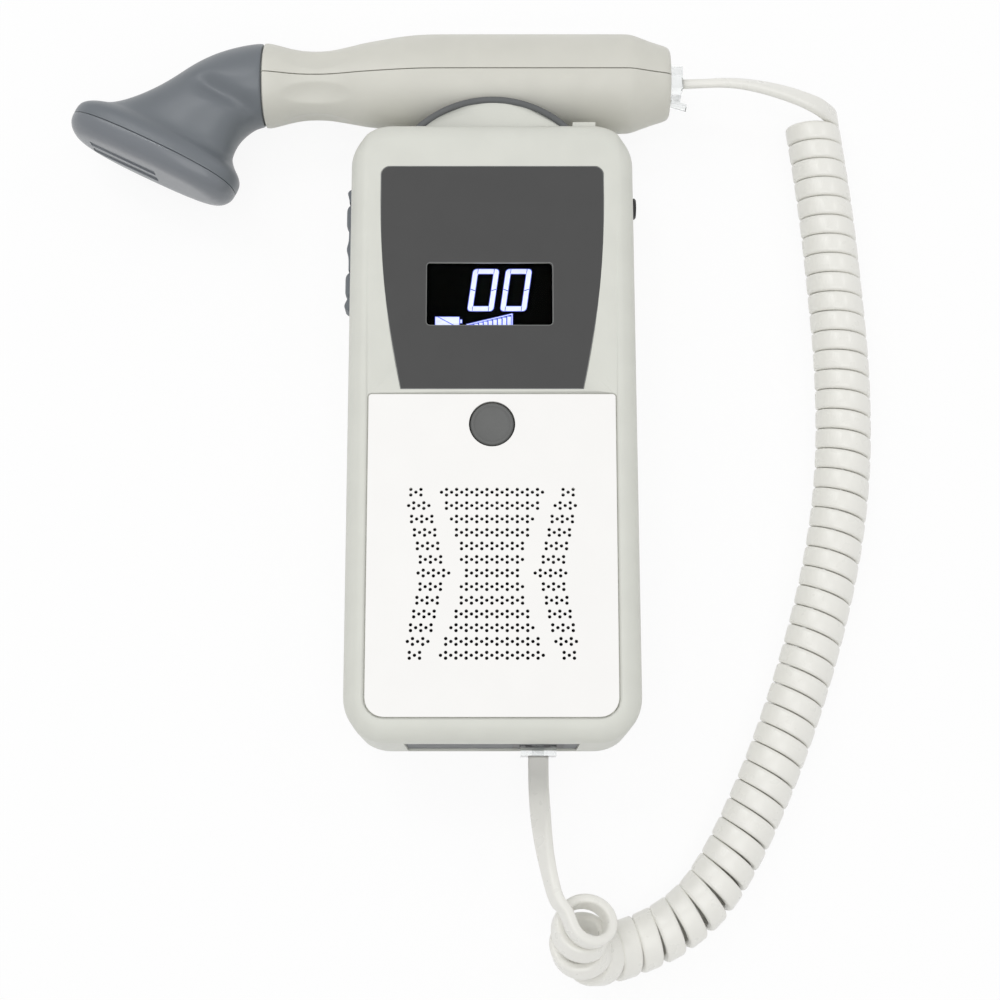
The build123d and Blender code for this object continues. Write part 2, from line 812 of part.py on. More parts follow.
def plug_latch(nose):
    """The springy lever that leans away from the plug, with a shoulder near its root."""
    lean = math.tan(math.radians(latch_angle))
    top = -plug_height / 2 - face_gap
    side_plane = Plane(origin=nose.origin, x_dir=nose.z_dir, z_dir=-nose.x_dir)
    for width, length in ((latch_shoulder_width, latch_shoulder), (latch_width, latch_length)):
        with BuildSketch(side_plane) as profile:
            with BuildLine():
                Polyline(
                    (latch_root, top),
                    (latch_root + length, top - length * lean),
                    (latch_root + length, top - length * lean - latch_thickness),
                    (latch_root, top - latch_thickness),
                    close=True,
                )
            make_face()
        extrude(profile.sketch, amount=width / 2, both=True)


for end_name, nose in (("unit", unit_nose), ("probe", probe_nose)):
    for piece_name, shape in (
        ("plug", plug_body),
        ("plug_contacts", plug_contacts),
        ("plug_latch", plug_latch),
    ):
        with BuildPart() as plug_piece:
            shape(nose)
        plug_piece.part.label = f"{end_name}_{piece_name}"
        export_step(plug_piece.part, f"parts/{end_name}_{piece_name}.step")

# The two cells lie head to tail; each has a spring at its flat end and a plate at its nub
nub_seat = bay_length / 2 - contact_plate - face_gap
flat_end = nub_seat - cell_nub - cell_length
for number, (side, way) in enumerate(((-1, 1), (1, -1)), start=1):
    cell_x = side * cell_pitch / 2
    with BuildPart() as battery:
        cell_origin = (cell_x, bay_middle + way * flat_end, cell_z)
        cell_plane = Plane(origin=cell_origin, x_dir=(1, 0, 0), z_dir=(0, way, 0))
        with BuildSketch(cell_plane):
            Circle(cell_radius)
        extrude(amount=cell_length)
        with BuildSketch(cell_plane.offset(cell_length)):
            Circle(cell_nub_radius)
        extrude(amount=cell_nub)
    battery.part.label = f"battery_{number}"
    export_step(battery.part, f"parts/battery_{number}.step")

    with BuildPart() as spring_contact:
        spring_origin = (cell_x, bay_middle - way * bay_length / 2, cell_z)
        spring_plane = Plane(origin=spring_origin, x_dir=(1, 0, 0), z_dir=(0, way, 0))
        with BuildSketch(spring_plane):
            Rectangle(contact_size, contact_size)
        extrude(amount=contact_plate)
        with BuildSketch(spring_plane.offset(contact_plate)):
            RegularPolygon(spring_radius, spring_sides)
        with BuildSketch(spring_plane.offset(bay_length / 2 + flat_end - face_gap)):
            RegularPolygon(spring_tip_radius, spring_sides)
        loft(ruled=True)
    spring_contact.part.label = f"spring_contact_{number}"
    export_step(spring_contact.part, f"parts/spring_contact_{number}.step")

    with BuildPart() as plate_contact:
        plate_origin = (cell_x, bay_middle + way * bay_length / 2, cell_z)
        with BuildSketch(Plane(origin=plate_origin, x_dir=(1, 0, 0), z_dir=(0, -way, 0))):
            Rectangle(contact_size, contact_size)
        extrude(amount=contact_plate)
    plate_contact.part.label = f"plate_contact_{number}"
    export_step(plate_contact.part, f"parts/plate_contact_{number}.step")

probe_plane = Plane(origin=(neck_x, probe_y, probe_z), x_dir=(1, 0, 0), z_dir=(0, 0, 1))
probe_axis = Axis((neck_x, probe_y, probe_z), (1, 0, 0))
seam_y = probe_y - seam_drop
seam_plane = Plane(origin=(0, seam_y, 0), x_dir=(1, 0, 0), z_dir=(0, 1, 0))


def handle_body():
    """The handle as one hollow turned piece, before it is parted along its seam."""
    barrel = [(barrel_start, handle_radius), (barrel_end, handle_radius)]
    with BuildSketch(probe_plane) as outside:
        with BuildLine():
            slopes = ((1, neck_slope), (1, 0))
            Spline((0, neck_radius), *grip, barrel[0], tangents=slopes)
            Line(*barrel)
            TangentArc(barrel[1], (handle_length, end_radius), tangent=(1, 0))
            Polyline((handle_length, end_radius), (handle_length, 0), (0, 0), (0, neck_radius))
        make_face()
    revolve(outside.sketch, axis=probe_axis)
    with BuildSketch(probe_plane) as inside:
        with BuildLine():
            bore = [(x, radius - shell_wall) for x, radius in ((0, neck_radius), *grip, *barrel)]
            cavity = handle_length - end_wall
            Polyline((0, 0), *bore, (cavity, end_radius + shell_wall), (cavity, 0), close=True)
        make_face()
    revolve(inside.sketch, axis=probe_axis, mode=Mode.SUBTRACT)
    # Webs that hold the board between the two shells
    for web in webs:
        with BuildSketch(Plane(origin=(neck_x + web, probe_y, probe_z), z_dir=(1, 0, 0))) as disc:
            Circle(handle_radius - shell_wall / 2)
        extrude(disc.sketch, amount=web_thickness / 2, both=True)
    with Locations((neck_x + handle_length / 2, seam_y, probe_z)):
        Box(handle_length - 2 * end_wall, probe_board_thickness, probe_board_width + 2 * fit_gap,
            mode=Mode.SUBTRACT)
    cut_plug_way(probe_nose)
    # Finger dimples round the narrow of the grip
    narrow = min(radius for _, radius in grip)
    for dimple in range(dimple_count):
        angle = math.radians(dimple_first + dimple * 360 / dimple_count)
        outward = Vector(0, -math.sin(angle), math.cos(angle))
        foot = Vector(neck_x + dimple_from_neck, probe_y, probe_z)
        centre = foot + outward * (narrow - dimple_depth + dimple_curve)
        with Locations(Plane(origin=centre, x_dir=outward, z_dir=outward.cross(Vector(1, 0, 0)))):
            Cylinder(dimple_curve, dimple_width, mode=Mode.SUBTRACT)


for shell_name, side in (("probe_upper_shell", Keep.TOP), ("probe_lower_shell", Keep.BOTTOM)):
    with BuildPart() as shell:
        handle_body()
        split(bisect_by=seam_plane, keep=side)
    shell.part.label = shell_name
    export_step(shell.part, f"parts/{shell_name}.step")

with BuildPart() as probe_board:
    board_centre_x = neck_x + probe_board_from_neck + probe_board_length / 2
    with Locations((board_centre_x, seam_y, probe_z)):
        Box(probe_board_length, probe_board_thickness, probe_board_width)
probe_board.part.label = "probe_board"
export_step(probe_board.part, "parts/probe_board.step")

with BuildPart() as probe_jack:
    with BuildSketch(probe_nose.offset(-jack_back)):
        low = -plug_height / 2 - channel_depth - probe_jack_wall
        high = plug_height / 2 + plug_gap + probe_jack_wall
        with Locations((0, (low + high) / 2)):
            Rectangle(plug_width + 2 * (plug_gap + probe_jack_wall), high - low)
        chamfer(vertices().group_by(Axis.Y)[0], jack_bevel)
    extrude(amount=cavity_end_x - probe_nose.origin.X + jack_back)
    cut_plug_way(probe_nose)
probe_jack.part.label = "probe_jack"
export_step(probe_jack.part, "parts/probe_jack.step")

lean = math.radians(face_lean)
face_plane = Plane(
    origin=(neck_x + face_centre[0], probe_y + face_centre[1], probe_z),
    x_dir=(-math.cos(lean), math.sin(lean), 0),
    z_dir=(-math.sin(lean), -math.cos(lean), 0),
)
with BuildPart() as probe_head:
    with BuildSketch(face_plane.offset(-cap_thickness)):
        RectangleRounded(face_length, face_width, face_corner)
    extrude(amount=-foot_thickness)
    foot_back = face_plane.offset(-cap_thickness - foot_thickness)
    back_face = probe_head.faces().sort_by_distance(foot_back.origin)[0]
    fillet(back_face.edges(), foot_round)
    for heel, crown, half_width in neck_sections:
        start = Vector(neck_x + heel[0], probe_y + heel[1], probe_z)
        stop = Vector(neck_x + crown[0], probe_y + crown[1], probe_z)
        along = (stop - start).normalized()
        facing = Vector(-along.Y, along.X, 0)
        with BuildSketch(Plane(origin=(start + stop) / 2, x_dir=along, z_dir=facing)):
            Ellipse((stop - start).length / 2, half_width)
    loft()
    with BuildSketch(Plane(origin=(neck_x, probe_y, probe_z), z_dir=(1, 0, 0))):
        Circle(spigot_radius)
    extrude(amount=spigot_length)
probe_head.part.label = "probe_head"
export_step(probe_head.part, "parts/probe_head.step")

bar_places = [(bar_shift, -bar_spacing / 2), (bar_shift, bar_spacing / 2)]
with BuildPart() as probe_face:
    with BuildSketch(face_plane):
        RectangleRounded(face_length, face_width, face_corner)
    extrude(amount=-cap_thickness)
    front_face = probe_face.faces().sort_by_distance(face_plane.origin)[0]
    fillet(front_face.edges(), face_round)
    with BuildSketch(face_plane):
        with Locations(*bar_places):
            Rectangle(bar_length, bar_width)
    extrude(amount=-bar_recess, mode=Mode.SUBTRACT)
    with BuildSketch(face_plane.offset(-cap_thickness)):
        RectangleRounded(pocket_length, pocket_width, pocket_corner)
    extrude(amount=cap_thickness - cap_skin, mode=Mode.SUBTRACT)
probe_face.part.label = "probe_face"
export_step(probe_face.part, "parts/probe_face.step")

crystal_plane = face_plane.offset(-cap_skin)
for crystal_name, place in zip(("transmit_crystal", "receive_crystal"), bar_places):
    with BuildPart() as crystal:
        with BuildSketch(crystal_plane):
            with Locations(place):
                Rectangle(bar_length, bar_width)
        extrude(amount=-crystal_thickness)
    crystal.part.label = crystal_name
    export_step(crystal.part, f"parts/{crystal_name}.step")

with BuildPart() as backing_block:
    with BuildSketch(crystal_plane.offset(-crystal_thickness)):
        block_length, block_width = pocket_length - 2 * fit_gap, pocket_width - 2 * fit_gap
        RectangleRounded(block_length, block_width, pocket_corner - fit_gap)
    extrude(amount=cap_skin + crystal_thickness - cap_thickness)
backing_block.part.label = "backing_block"
export_step(backing_block.part, "parts/backing_block.step")

curl_radius = (curl_diameter - cord_thickness) / 2
axis_step = 0.25
guide_scale = 2


def along_axis():
    """Points close together on the coil's axis, with the way the curls face and a side at each.

    Each three points of the route make one curve that starts and ends halfway along its runs.
    The curls turn into a bend early and leave it late, so that they fan.
    """
    route = [Vector(*point) for point in coil_axis]
    halfway = [(a + b) / 2 for a, b in zip(route[1:-1], route[2:-1])]
    ends = [route[0], *halfway, route[-1]]
    points = []
    for start, corner, stop in zip(ends, route[1:-1], ends[1:]):
        count = math.ceil(((corner - start).length + (stop - corner).length) / axis_step)
        for index in range(count):
            t = index / count
            points.append(start * (1 - t) ** 2 + corner * (2 * t * (1 - t)) + stop * t**2)
    points.append(route[-1])
    directions = [(b - a).normalized() for a, b in zip(points, points[1:])]
    directions.append(directions[-1])
    reach = round(turning_reach / axis_step)
    facings = []
    for index in range(len(directions)):
        total = Vector(0, 0, 0)
        for other in range(max(0, index - reach), min(len(directions), index + reach + 1)):
            weight = 1 + math.cos(math.pi * (other - index) / (reach + 1))
            total += directions[other] * weight
        facings.append(total.normalized())
    sides = [Vector(0, 0, 1)]
    for facing in facings:
        side = sides[-1]
        sides.append((side - facing * facing.dot(side)).normalized())
    return points, directions, facings, sides[1:]


axis_points, axis_directions, axis_facings, axis_sides = along_axis()
axis_steps = [(b - a).length for a, b in zip(axis_points, axis_points[1:])]
axis_places = [sum(axis_steps[:index]) for index in range(len(axis_points))]


def looseness(place):
    """Nothing along most of the coil, then up to one at its end by the unit."""
    return max(0, 1 - (axis_places[-1] - place) / loose_length)


def curl_shares():
    """Curls made up to each axis point: fewer in a bend, so that its inside stays open."""
    reach = round(bend_reach / axis_step)
    shares = [0.0]
    for index, length in enumerate(axis_steps, start=1):
        low, high = max(0, index - reach), min(len(axis_points) - 1, index + reach)
        turn = math.radians(axis_facings[low].get_angle(axis_facings[high]))
        bend = turn / (axis_places[high] - axis_places[low])
        forward = length * axis_directions[index - 1].dot(axis_facings[index])
        opening = 1 - loose_opening * looseness(axis_places[index])
        shares.append(shares[-1] + forward * (1 - bend * curl_diameter / 2) * opening)
    return [share * curl_count / shares[-1] for share in shares]


curls_made = curl_shares()


def helix_point(curl, scale=1):
    """A point of the curled cord after so many curls; a scale over 1 gives the guide outside it."""
    index = 0
    while index < len(axis_points) - 2 and curls_made[index + 1] < curl:
        index += 1
    share = (curl - curls_made[index]) / (curls_made[index + 1] - curls_made[index])
    centre = axis_points[index] * (1 - share) + axis_points[index + 1] * share
    facing = (axis_facings[index] * (1 - share) + axis_facings[index + 1] * share).normalized()
    side = (axis_sides[index] * (1 - share) + axis_sides[index + 1] * share).normalized()
    loose = looseness(axis_places[index] + share * axis_steps[index])
    radius = curl_radius + loose_growth * loose**2
    if scale > 1:
        # The guide's turns keep their length in step with the cord's
        rise = axis_steps[index] / (curls_made[index + 1] - curls_made[index]) / (2 * math.pi)
        radius = math.sqrt((scale * radius) ** 2 + (scale**2 - 1) * rise**2)
    angle = math.radians(curl_start) - 2 * math.pi * curl
    return centre + side * (radius * math.cos(angle)) + facing.cross(side) * (radius * math.sin(angle))


def helix_heading(curl, scale=1):
    """The cord's direction after so many curls."""
    tiny = 0.0005
    before, after = max(0, curl - tiny), min(curl_count, curl + tiny)
    return (helix_point(after, scale) - helix_point(before, scale)).normalized()


def half_turns(scale):
    """Stations half a turn apart, each a place and a direction."""
    curls = [min(half / 2, curl_count) for half in range(math.ceil(2 * curl_count) + 1)]
    return [(helix_point(curl, scale), helix_heading(curl, scale)) for curl in curls]


def biarcs(stations):
    """Two tangent arcs between each pair of stations."""
    arcs = []
    place, heading = stations[0]
    for next_place, next_heading in stations[1:]:
        span = next_place - place
        a = 2 * (heading.dot(next_heading) - 1)
        b = 2 * span.dot(heading + next_heading)
        c = span.dot(span)
        reach = (b - math.sqrt(b * b - 4 * a * c)) / (2 * a)
        if reach < 0:
            reach = (b + math.sqrt(b * b - 4 * a * c)) / (2 * a)
        joint = (place + heading * reach + next_place - next_heading * reach) / 2
        arcs.append(Edge.make_tangent_arc(place, heading, joint))
        arcs.append(Edge.make_tangent_arc(joint, arcs[-1] % 1, next_place))
        place, heading = next_place, arcs[-1] % 1
    return Wire(arcs)


def near_edge(curl, towards):
    """The two corners and the middle of the cord's edge that faces a neighbouring curl."""
    here = helix_point(curl)
    outward = (helix_point(curl, guide_scale) - here).normalized()
    across = helix_heading(curl).cross(outward)
    if across.dot(towards) < 0:
        across = across * -1
    edge = here + across * (cord_width / 2)
    return [edge + outward * layer for layer in (-cord_thickness / 2, 0, cord_thickness / 2)]


def least_gap():
    """Least gap between neighbouring curls, between points of the edges that face each other.

    Less than nothing where they overlap.
    """
    per_curl = 24
    edges_ahead, edges_behind = [], []
    for index in range(math.floor(curl_count * per_curl) + 1):
        facing = axis_facings[min(bisect.bisect(curls_made, index / per_curl), len(axis_facings) - 1)]
        edges_ahead.append(near_edge(index / per_curl, facing))
        edges_behind.append(near_edge(index / per_curl, facing * -1))
    gaps = []
    for index, ahead in enumerate(edges_ahead[:-per_curl]):
        across = ahead[1] - edges_behind[index][1]
        for behind in edges_behind[index + per_curl - 2:index + per_curl + 3]:
            for apart in [there - here for there in behind for here in ahead]:
                gaps.append(math.copysign(apart.length, apart.dot(across)))
    return min(gaps)


cord_stations = half_turns(1)
guide_stations = half_turns(guide_scale)
with BuildPart() as curly_cord:
    for first in range(0, len(cord_stations) - 1, 2 * curls_in_a_sweep):
        stretch = slice(first, first + 2 * curls_in_a_sweep + 1)
        path, guide = biarcs(cord_stations[stretch]), biarcs(guide_stations[stretch])
        if first == 0:
            section_plane = Plane(origin=path @ 0, x_dir=(guide @ 0) - (path @ 0), z_dir=path % 0)
            with BuildSketch(section_plane) as section:
                Rectangle(cord_thickness, cord_width)
            extrude(section.sketch, amount=-cord_width, clean=False)
            coil_start = section_plane.offset(-cord_width)
            section_face = section.sketch.face()
        # Each sweep starts on the end of the one before
        sweep(section_face, path=path, binormal=guide, clean=False)
        section_face = curly_cord.faces().sort_by_distance(path @ 1)[0]
        if section_face.normal_at().dot(path % 1) < 0:
            section_face = -section_face
    extrude(section_face, amount=cord_width, dir=path % 1, clean=False)
    section_plane = Plane(origin=path @ 1, x_dir=(guide @ 1) - (path @ 1), z_dir=path % 1)
    coil_end = section_plane.offset(cord_width)
curly_cord.part.label = "curly_cord"
export_step(curly_cord.part, "parts/curly_cord.step")
print(f"coil axis {axis_places[-1]:.1f} long, least gap between curls {least_gap():.2f}")
print(f"coil starts at {coil_start.origin} and ends at {coil_end.origin}, heading {coil_end.z_dir}")


def lead_path(points):
    """Straight runs joined by arcs as large as the runs allow."""
    radii = []
    for before, corner, after in zip(points, points[1:], points[2:]):
        turn = math.radians((corner - before).get_angle(after - corner))
        shorter = min((corner - before).length, (after - corner).length)
        radii.append(arc_share * shorter / math.tan(turn / 2))
    print("lead arcs", [round(radius, 1) for radius in radii])
    with BuildLine() as path:
        FilletPolyline(*points, radius=radii)
    return Wire(path.edges())


def lead(plug_rear, across, chosen, end_run, coil_face):
    """A flat lead that twists from its plug's flat side to that of the coil's end."""
    points = [plug_rear, *(Vector(*point) for point in chosen)]
    points += [coil_face.origin + coil_face.z_dir * end_run, coil_face.origin]
    path = lead_path(points)
    # The flat side is carried along the path and turned to lie in the coil's
    stations = 24
    sides = [across]
    for station in range(stations + 1):
        heading = path % (station / stations)
        side = sides[-1]
        sides.append((side - heading * heading.dot(side)).normalized())
    target = coil_face.y_dir
    heading = path % 1
    twist = math.atan2(heading.dot(sides[-1].cross(target)), sides[-1].dot(target))
    if abs(twist) > math.pi / 2:
        twist -= math.copysign(math.pi, twist)
    guide_points = []
    for station, side in enumerate(sides[1:]):
        share = station / stations
        heading = path % share
        angle = twist * share
        turned = side * math.cos(angle) + heading.cross(side) * math.sin(angle)
        guide_points.append(path @ share + turned * curl_diameter)
    guide = Wire([Edge.make_spline(guide_points)])
    with BuildSketch(Plane(origin=plug_rear, x_dir=across, z_dir=path % 0)) as section:
        Rectangle(cord_width, cord_thickness)
    sweep(section.sketch, path=path, binormal=guide)


with BuildPart() as unit_lead:
    lead(unit_plug_rear, unit_nose.x_dir, unit_lead_points, unit_lead_end_run, coil_end)
unit_lead.part.label = "unit_lead"
export_step(unit_lead.part, "parts/unit_lead.step")

with BuildPart() as probe_lead:
    coil_back = Plane(origin=coil_start.origin, x_dir=coil_start.x_dir, z_dir=-coil_start.z_dir)
    lead(probe_plug_rear, probe_nose.x_dir, probe_lead_points, probe_lead_end_run, coil_back)
probe_lead.part.label = "probe_lead"
export_step(probe_lead.part, "parts/probe_lead.step")
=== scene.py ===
import bmesh
import bpy
import math
from mathutils import Matrix, Vector


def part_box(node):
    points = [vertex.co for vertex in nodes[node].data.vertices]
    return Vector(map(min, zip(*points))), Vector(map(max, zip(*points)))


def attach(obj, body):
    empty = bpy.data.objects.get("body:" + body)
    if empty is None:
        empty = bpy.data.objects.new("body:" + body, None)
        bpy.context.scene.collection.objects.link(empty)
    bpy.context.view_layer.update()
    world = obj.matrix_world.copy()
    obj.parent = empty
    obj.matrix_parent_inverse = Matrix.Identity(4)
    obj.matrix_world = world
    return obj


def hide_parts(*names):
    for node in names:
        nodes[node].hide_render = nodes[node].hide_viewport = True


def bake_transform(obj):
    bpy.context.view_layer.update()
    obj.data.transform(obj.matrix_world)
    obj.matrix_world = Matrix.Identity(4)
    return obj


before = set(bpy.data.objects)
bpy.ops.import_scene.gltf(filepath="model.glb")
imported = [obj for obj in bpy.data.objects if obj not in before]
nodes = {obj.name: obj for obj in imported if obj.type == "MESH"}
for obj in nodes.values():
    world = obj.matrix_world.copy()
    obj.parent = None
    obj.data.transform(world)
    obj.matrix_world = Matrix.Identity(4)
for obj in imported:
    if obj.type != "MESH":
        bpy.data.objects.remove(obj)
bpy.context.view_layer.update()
MM = 0.001


# Materials: most have an uneven colour, an uneven gloss and a fine relief; the lit ones have only an uneven
# colour


def tone(red, green, blue):
    """A colour as it is seen, 0 to 255, as the shader wants it."""
    return tuple((channel / 255) ** 2.2 for channel in (red, green, blue)) + (1.0,)


def shader(name):
    """A new material's node tree and its main shader."""
    material = bpy.data.materials.new(name)
    material.use_nodes = True
    tree = material.node_tree
    return material, tree, tree.nodes["Principled BSDF"]


def noise(tree, size, detail=2.0, stretch=(1, 1, 1)):
    """Noise on the object's own coordinates, its blobs about size metres across."""
    coords = tree.nodes.new("ShaderNodeTexCoord")
    mapping = tree.nodes.new("ShaderNodeMapping")
    mapping.inputs["Scale"].default_value = stretch
    texture = tree.nodes.new("ShaderNodeTexNoise")
    texture.inputs["Scale"].default_value = 1 / size
    texture.inputs["Detail"].default_value = detail
    tree.links.new(coords.outputs["Object"], mapping.inputs["Vector"])
    tree.links.new(mapping.outputs["Vector"], texture.inputs["Vector"])
    return texture


def spread(tree, texture, low, high):
    """The texture's middle range as values from low to high."""
    ranged = tree.nodes.new("ShaderNodeMapRange")
    ranged.interpolation_type = "SMOOTHSTEP"
    ranged.inputs["From Min"].default_value = 0.2
    ranged.inputs["From Max"].default_value = 0.8
    ranged.inputs["To Min"].default_value = low
    ranged.inputs["To Max"].default_value = high
    tree.links.new(texture.outputs["Fac"], ranged.inputs["Value"])
    return ranged


def mottled(tree, main, colour, size, depth):
    """Gives the shader a colour that wanders a little around the one given."""
    texture = noise(tree, size)
    ramp = tree.nodes.new("ShaderNodeValToRGB")
    ramp.color_ramp.interpolation = "EASE"
    ramp.color_ramp.elements[0].position = 0.2
    ramp.color_ramp.elements[1].position = 0.8
    ramp.color_ramp.elements[0].color = tuple(c * (1 - depth) for c in colour[:3]) + (1.0,)
    ramp.color_ramp.elements[1].color = tuple(min(1, c * (1 + depth)) for c in colour[:3]) + (1.0,)
    tree.links.new(texture.outputs["Fac"], ramp.inputs["Fac"])
    tree.links.new(ramp.outputs["Color"], main.inputs["Base Color"])
    return ramp


def relief(tree, main, size, height, stretch=(1, 1, 1), strength=0.4):
    """A fine texture in the surface."""
    texture = noise(tree, size, 3.0, stretch)
    bump = tree.nodes.new("ShaderNodeBump")
    bump.inputs["Strength"].default_value = strength
    bump.inputs["Distance"].default_value = height
    tree.links.new(texture.outputs["Fac"], bump.inputs["Height"])
    tree.links.new(bump.outputs["Normal"], main.inputs["Normal"])


def moulding(name, colour, gloss=(0.42, 0.5), grain=0.5 * MM, height=0.02 * MM, mottle=0.02, shine=0.5):
    """Moulded plastic or rubber with a fine spark-eroded texture."""
    material, tree, main = shader(name)
    main.inputs["Specular IOR Level"].default_value = shine
    mottled(tree, main, colour, 9 * MM, mottle)
    tree.links.new(spread(tree, noise(tree, 4 * MM), *gloss).outputs[0], main.inputs["Roughness"])
    relief(tree, main, grain, height)
    return material


def plated(name, colour, roughness=0.25, brushed=(1, 1, 1)):
    """Metal with a faint brushed grain."""
    material, tree, main = shader(name)
    main.inputs["Metallic"].default_value = 1.0
    mottled(tree, main, colour, 3 * MM, 0.06)
    low, high = roughness * 0.8, roughness * 1.3
    sheen = spread(tree, noise(tree, 0.6 * MM, 2.0, brushed), low, high)
    tree.links.new(sheen.outputs[0], main.inputs["Roughness"])
    relief(tree, main, 0.3 * MM, 0.01 * MM, brushed)
    return material


def clear_moulding(name, colour, roughness=0.06, clearness=0.92, bending=1.5):
    """Clear plastic with faint flow waves from the mould."""
    material, tree, main = shader(name)
    mottled(tree, main, colour, 3 * MM, 0.02)
    main.inputs["Transmission Weight"].default_value = clearness
    main.inputs["IOR"].default_value = bending
    sheen = spread(tree, noise(tree, 2 * MM), roughness, roughness * 2.5)
    tree.links.new(sheen.outputs[0], main.inputs["Roughness"])
    relief(tree, main, 2.5 * MM, 0.05 * MM, strength=0.35)
    return material


def lit_ink(name, colour, strength):
    """A lit part of the display, a little brighter in places."""
    material, tree, main = shader(name)
    main.inputs["Roughness"].default_value = 0.5
    main.inputs["Emission Strength"].default_value = strength
    ramp = mottled(tree, main, colour, 1.2 * MM, 0.06)
    tree.links.new(ramp.outputs["Color"], main.inputs["Emission Color"])
    return material


ivory_case = moulding("ivory_case", tone(211, 212, 204))
ivory_handle = moulding("ivory_handle", tone(207, 206, 197), gloss=(0.38, 0.46))
blue_grey_head = moulding("blue_grey_head", tone(108, 113, 118), gloss=(0.33, 0.38), height=0.008 * MM)
grey_face = moulding("grey_face", tone(116, 120, 125), gloss=(0.22, 0.27), height=0.008 * MM)
dark_label = moulding(
    "dark_label", tone(76, 76, 76), gloss=(0.45, 0.52), grain=0.25 * MM, height=0.006 * MM, shine=0.2,
)
# Lighter grey for the label's rim: a painted highlight where light catches its edges
label_edge_highlight = moulding(
    "label_edge_highlight", tone(112, 114, 113), gloss=(0.35, 0.42), grain=0.25 * MM, height=0.006 * MM,
)
liner_rubber = moulding("liner_rubber", tone(96, 98, 99), gloss=(0.6, 0.75), height=0.04 * MM, mottle=0.05)
button_rubber = moulding("button_rubber", tone(97, 98, 97), gloss=(0.5, 0.62), height=0.03 * MM, mottle=0.03)
keypad_rubber = moulding(
    "keypad_rubber", tone(108, 113, 118), gloss=(0.5, 0.62), height=0.03 * MM, mottle=0.03,
)
panel_plastic = moulding("panel_plastic", tone(80, 84, 87), gloss=(0.45, 0.55))
jack_plastic = moulding("jack_plastic", tone(38, 38, 40), gloss=(0.4, 0.5))
door_plastic = moulding("door_plastic", tone(208, 209, 201))
board_green = moulding("board_green", tone(34, 92, 54), gloss=(0.25, 0.35), mottle=0.08)
cell_sleeve = moulding("cell_sleeve", tone(120, 122, 126), gloss=(0.22, 0.3), mottle=0.03)
crystal_silver = plated("crystal_silver", tone(206, 200, 188), 0.35)
backing_resin = moulding("backing_resin", tone(82, 76, 72), gloss=(0.6, 0.7), mottle=0.08)
speaker_paper = moulding(
    "speaker_paper", tone(44, 44, 46), gloss=(0.7, 0.8), grain=0.9 * MM, height=0.08 * MM,
)
mesh_cloth = moulding("mesh_cloth", tone(20, 18, 34), gloss=(0.6, 0.8), grain=0.4 * MM, height=0.1 * MM)
black_display = moulding(
    "black_display", tone(44, 44, 50), gloss=(0.3, 0.4), height=0.002 * MM, mottle=0.3, shine=0.05,
)
pale_diffuser = moulding("pale_diffuser", tone(235, 238, 242), gloss=(0.5, 0.6))
screw_steel = plated("screw_steel", tone(190, 190, 188), 0.28)
magnet_steel = plated("magnet_steel", tone(170, 170, 172), 0.3)
contact_gold = plated("contact_gold", tone(226, 190, 110), 0.22)
clear_plug = clear_moulding("clear_plug", tone(246, 248, 248), 0.03)
display_glass = clear_moulding("display_glass", tone(214, 216, 222), 0.01, clearness=1.0, bending=1.12)
cord_jacket = moulding(
    "cord_jacket", tone(233, 232, 226), gloss=(0.27, 0.29), grain=0.3 * MM, height=0.003 * MM, mottle=0.004,
)
# The plate's white is partly its own colour and partly a painted reflection of the bright surroundings; its
# own specular is kept low
white_plate_and_reflection = moulding(
    "white_plate_and_reflection", tone(244, 243, 241), gloss=(0.42, 0.48), grain=0.4 * MM, height=0.002 * MM,
    mottle=0.006, shine=0.2,
)
lit_white = lit_ink("lit_white", tone(222, 228, 252), 0.8)
lit_gap = lit_ink("lit_gap", tone(66, 74, 160), 0.5)
lit_blue = lit_ink("lit_blue", tone(88, 104, 214), 0.8)

finishes = {
    "front_housing": ivory_case, "rear_housing": ivory_case, "battery_door": door_plastic,
    "cradle_liner": liner_rubber, "display_overlay": dark_label, "speaker_plate": white_plate_and_reflection,
    "side_keypad": keypad_rubber, "connector_panel": panel_plastic, "unit_jack": jack_plastic,
    "headphone_jack": jack_plastic, "case_screws": screw_steel, "lcd_module": black_display,
    "backlight": pale_diffuser, "main_board": board_green, "power_switch": jack_plastic,
    "volume_up_switch": jack_plastic, "volume_down_switch": jack_plastic,
    "speaker_driver": speaker_paper, "speaker_magnet": magnet_steel, "dust_mesh": mesh_cloth,
    "battery_1": cell_sleeve, "battery_2": cell_sleeve, "spring_contact_1": screw_steel,
    "spring_contact_2": screw_steel, "plate_contact_1": screw_steel, "plate_contact_2": screw_steel,
    "unit_plug": clear_plug, "unit_plug_contacts": contact_gold, "unit_plug_latch": clear_plug,
    "probe_upper_shell": ivory_handle, "probe_lower_shell": ivory_handle,
    "probe_head": blue_grey_head, "probe_face": grey_face, "transmit_crystal": crystal_silver,
    "receive_crystal": crystal_silver, "backing_block": backing_resin, "probe_board": board_green,
    "probe_jack": jack_plastic, "probe_plug": clear_plug, "probe_plug_contacts": contact_gold,
    "probe_plug_latch": clear_plug, "power_button": button_rubber, "volume_up_key": keypad_rubber,
    "volume_down_key": keypad_rubber, "display_window": display_glass,
}
for node_name, finish in finishes.items():
    nodes[node_name].data.materials.clear()
    nodes[node_name].data.materials.append(finish)


# Pieces


def piece(name, mesh, finishes_used, body, smooth=True, stands_for=()):
    """An object from a finished bmesh, with its materials, riding on a body."""
    data = bpy.data.meshes.new(name)
    mesh.to_mesh(data)
    mesh.free()
    made = bpy.data.objects.new(name, data)
    bpy.context.scene.collection.objects.link(made)
    for finish in finishes_used:
        data.materials.append(finish)
    if smooth:
        data.shade_smooth()
    if body:
        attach(made, body)
    if stands_for:
        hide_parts(*stands_for)
    return made


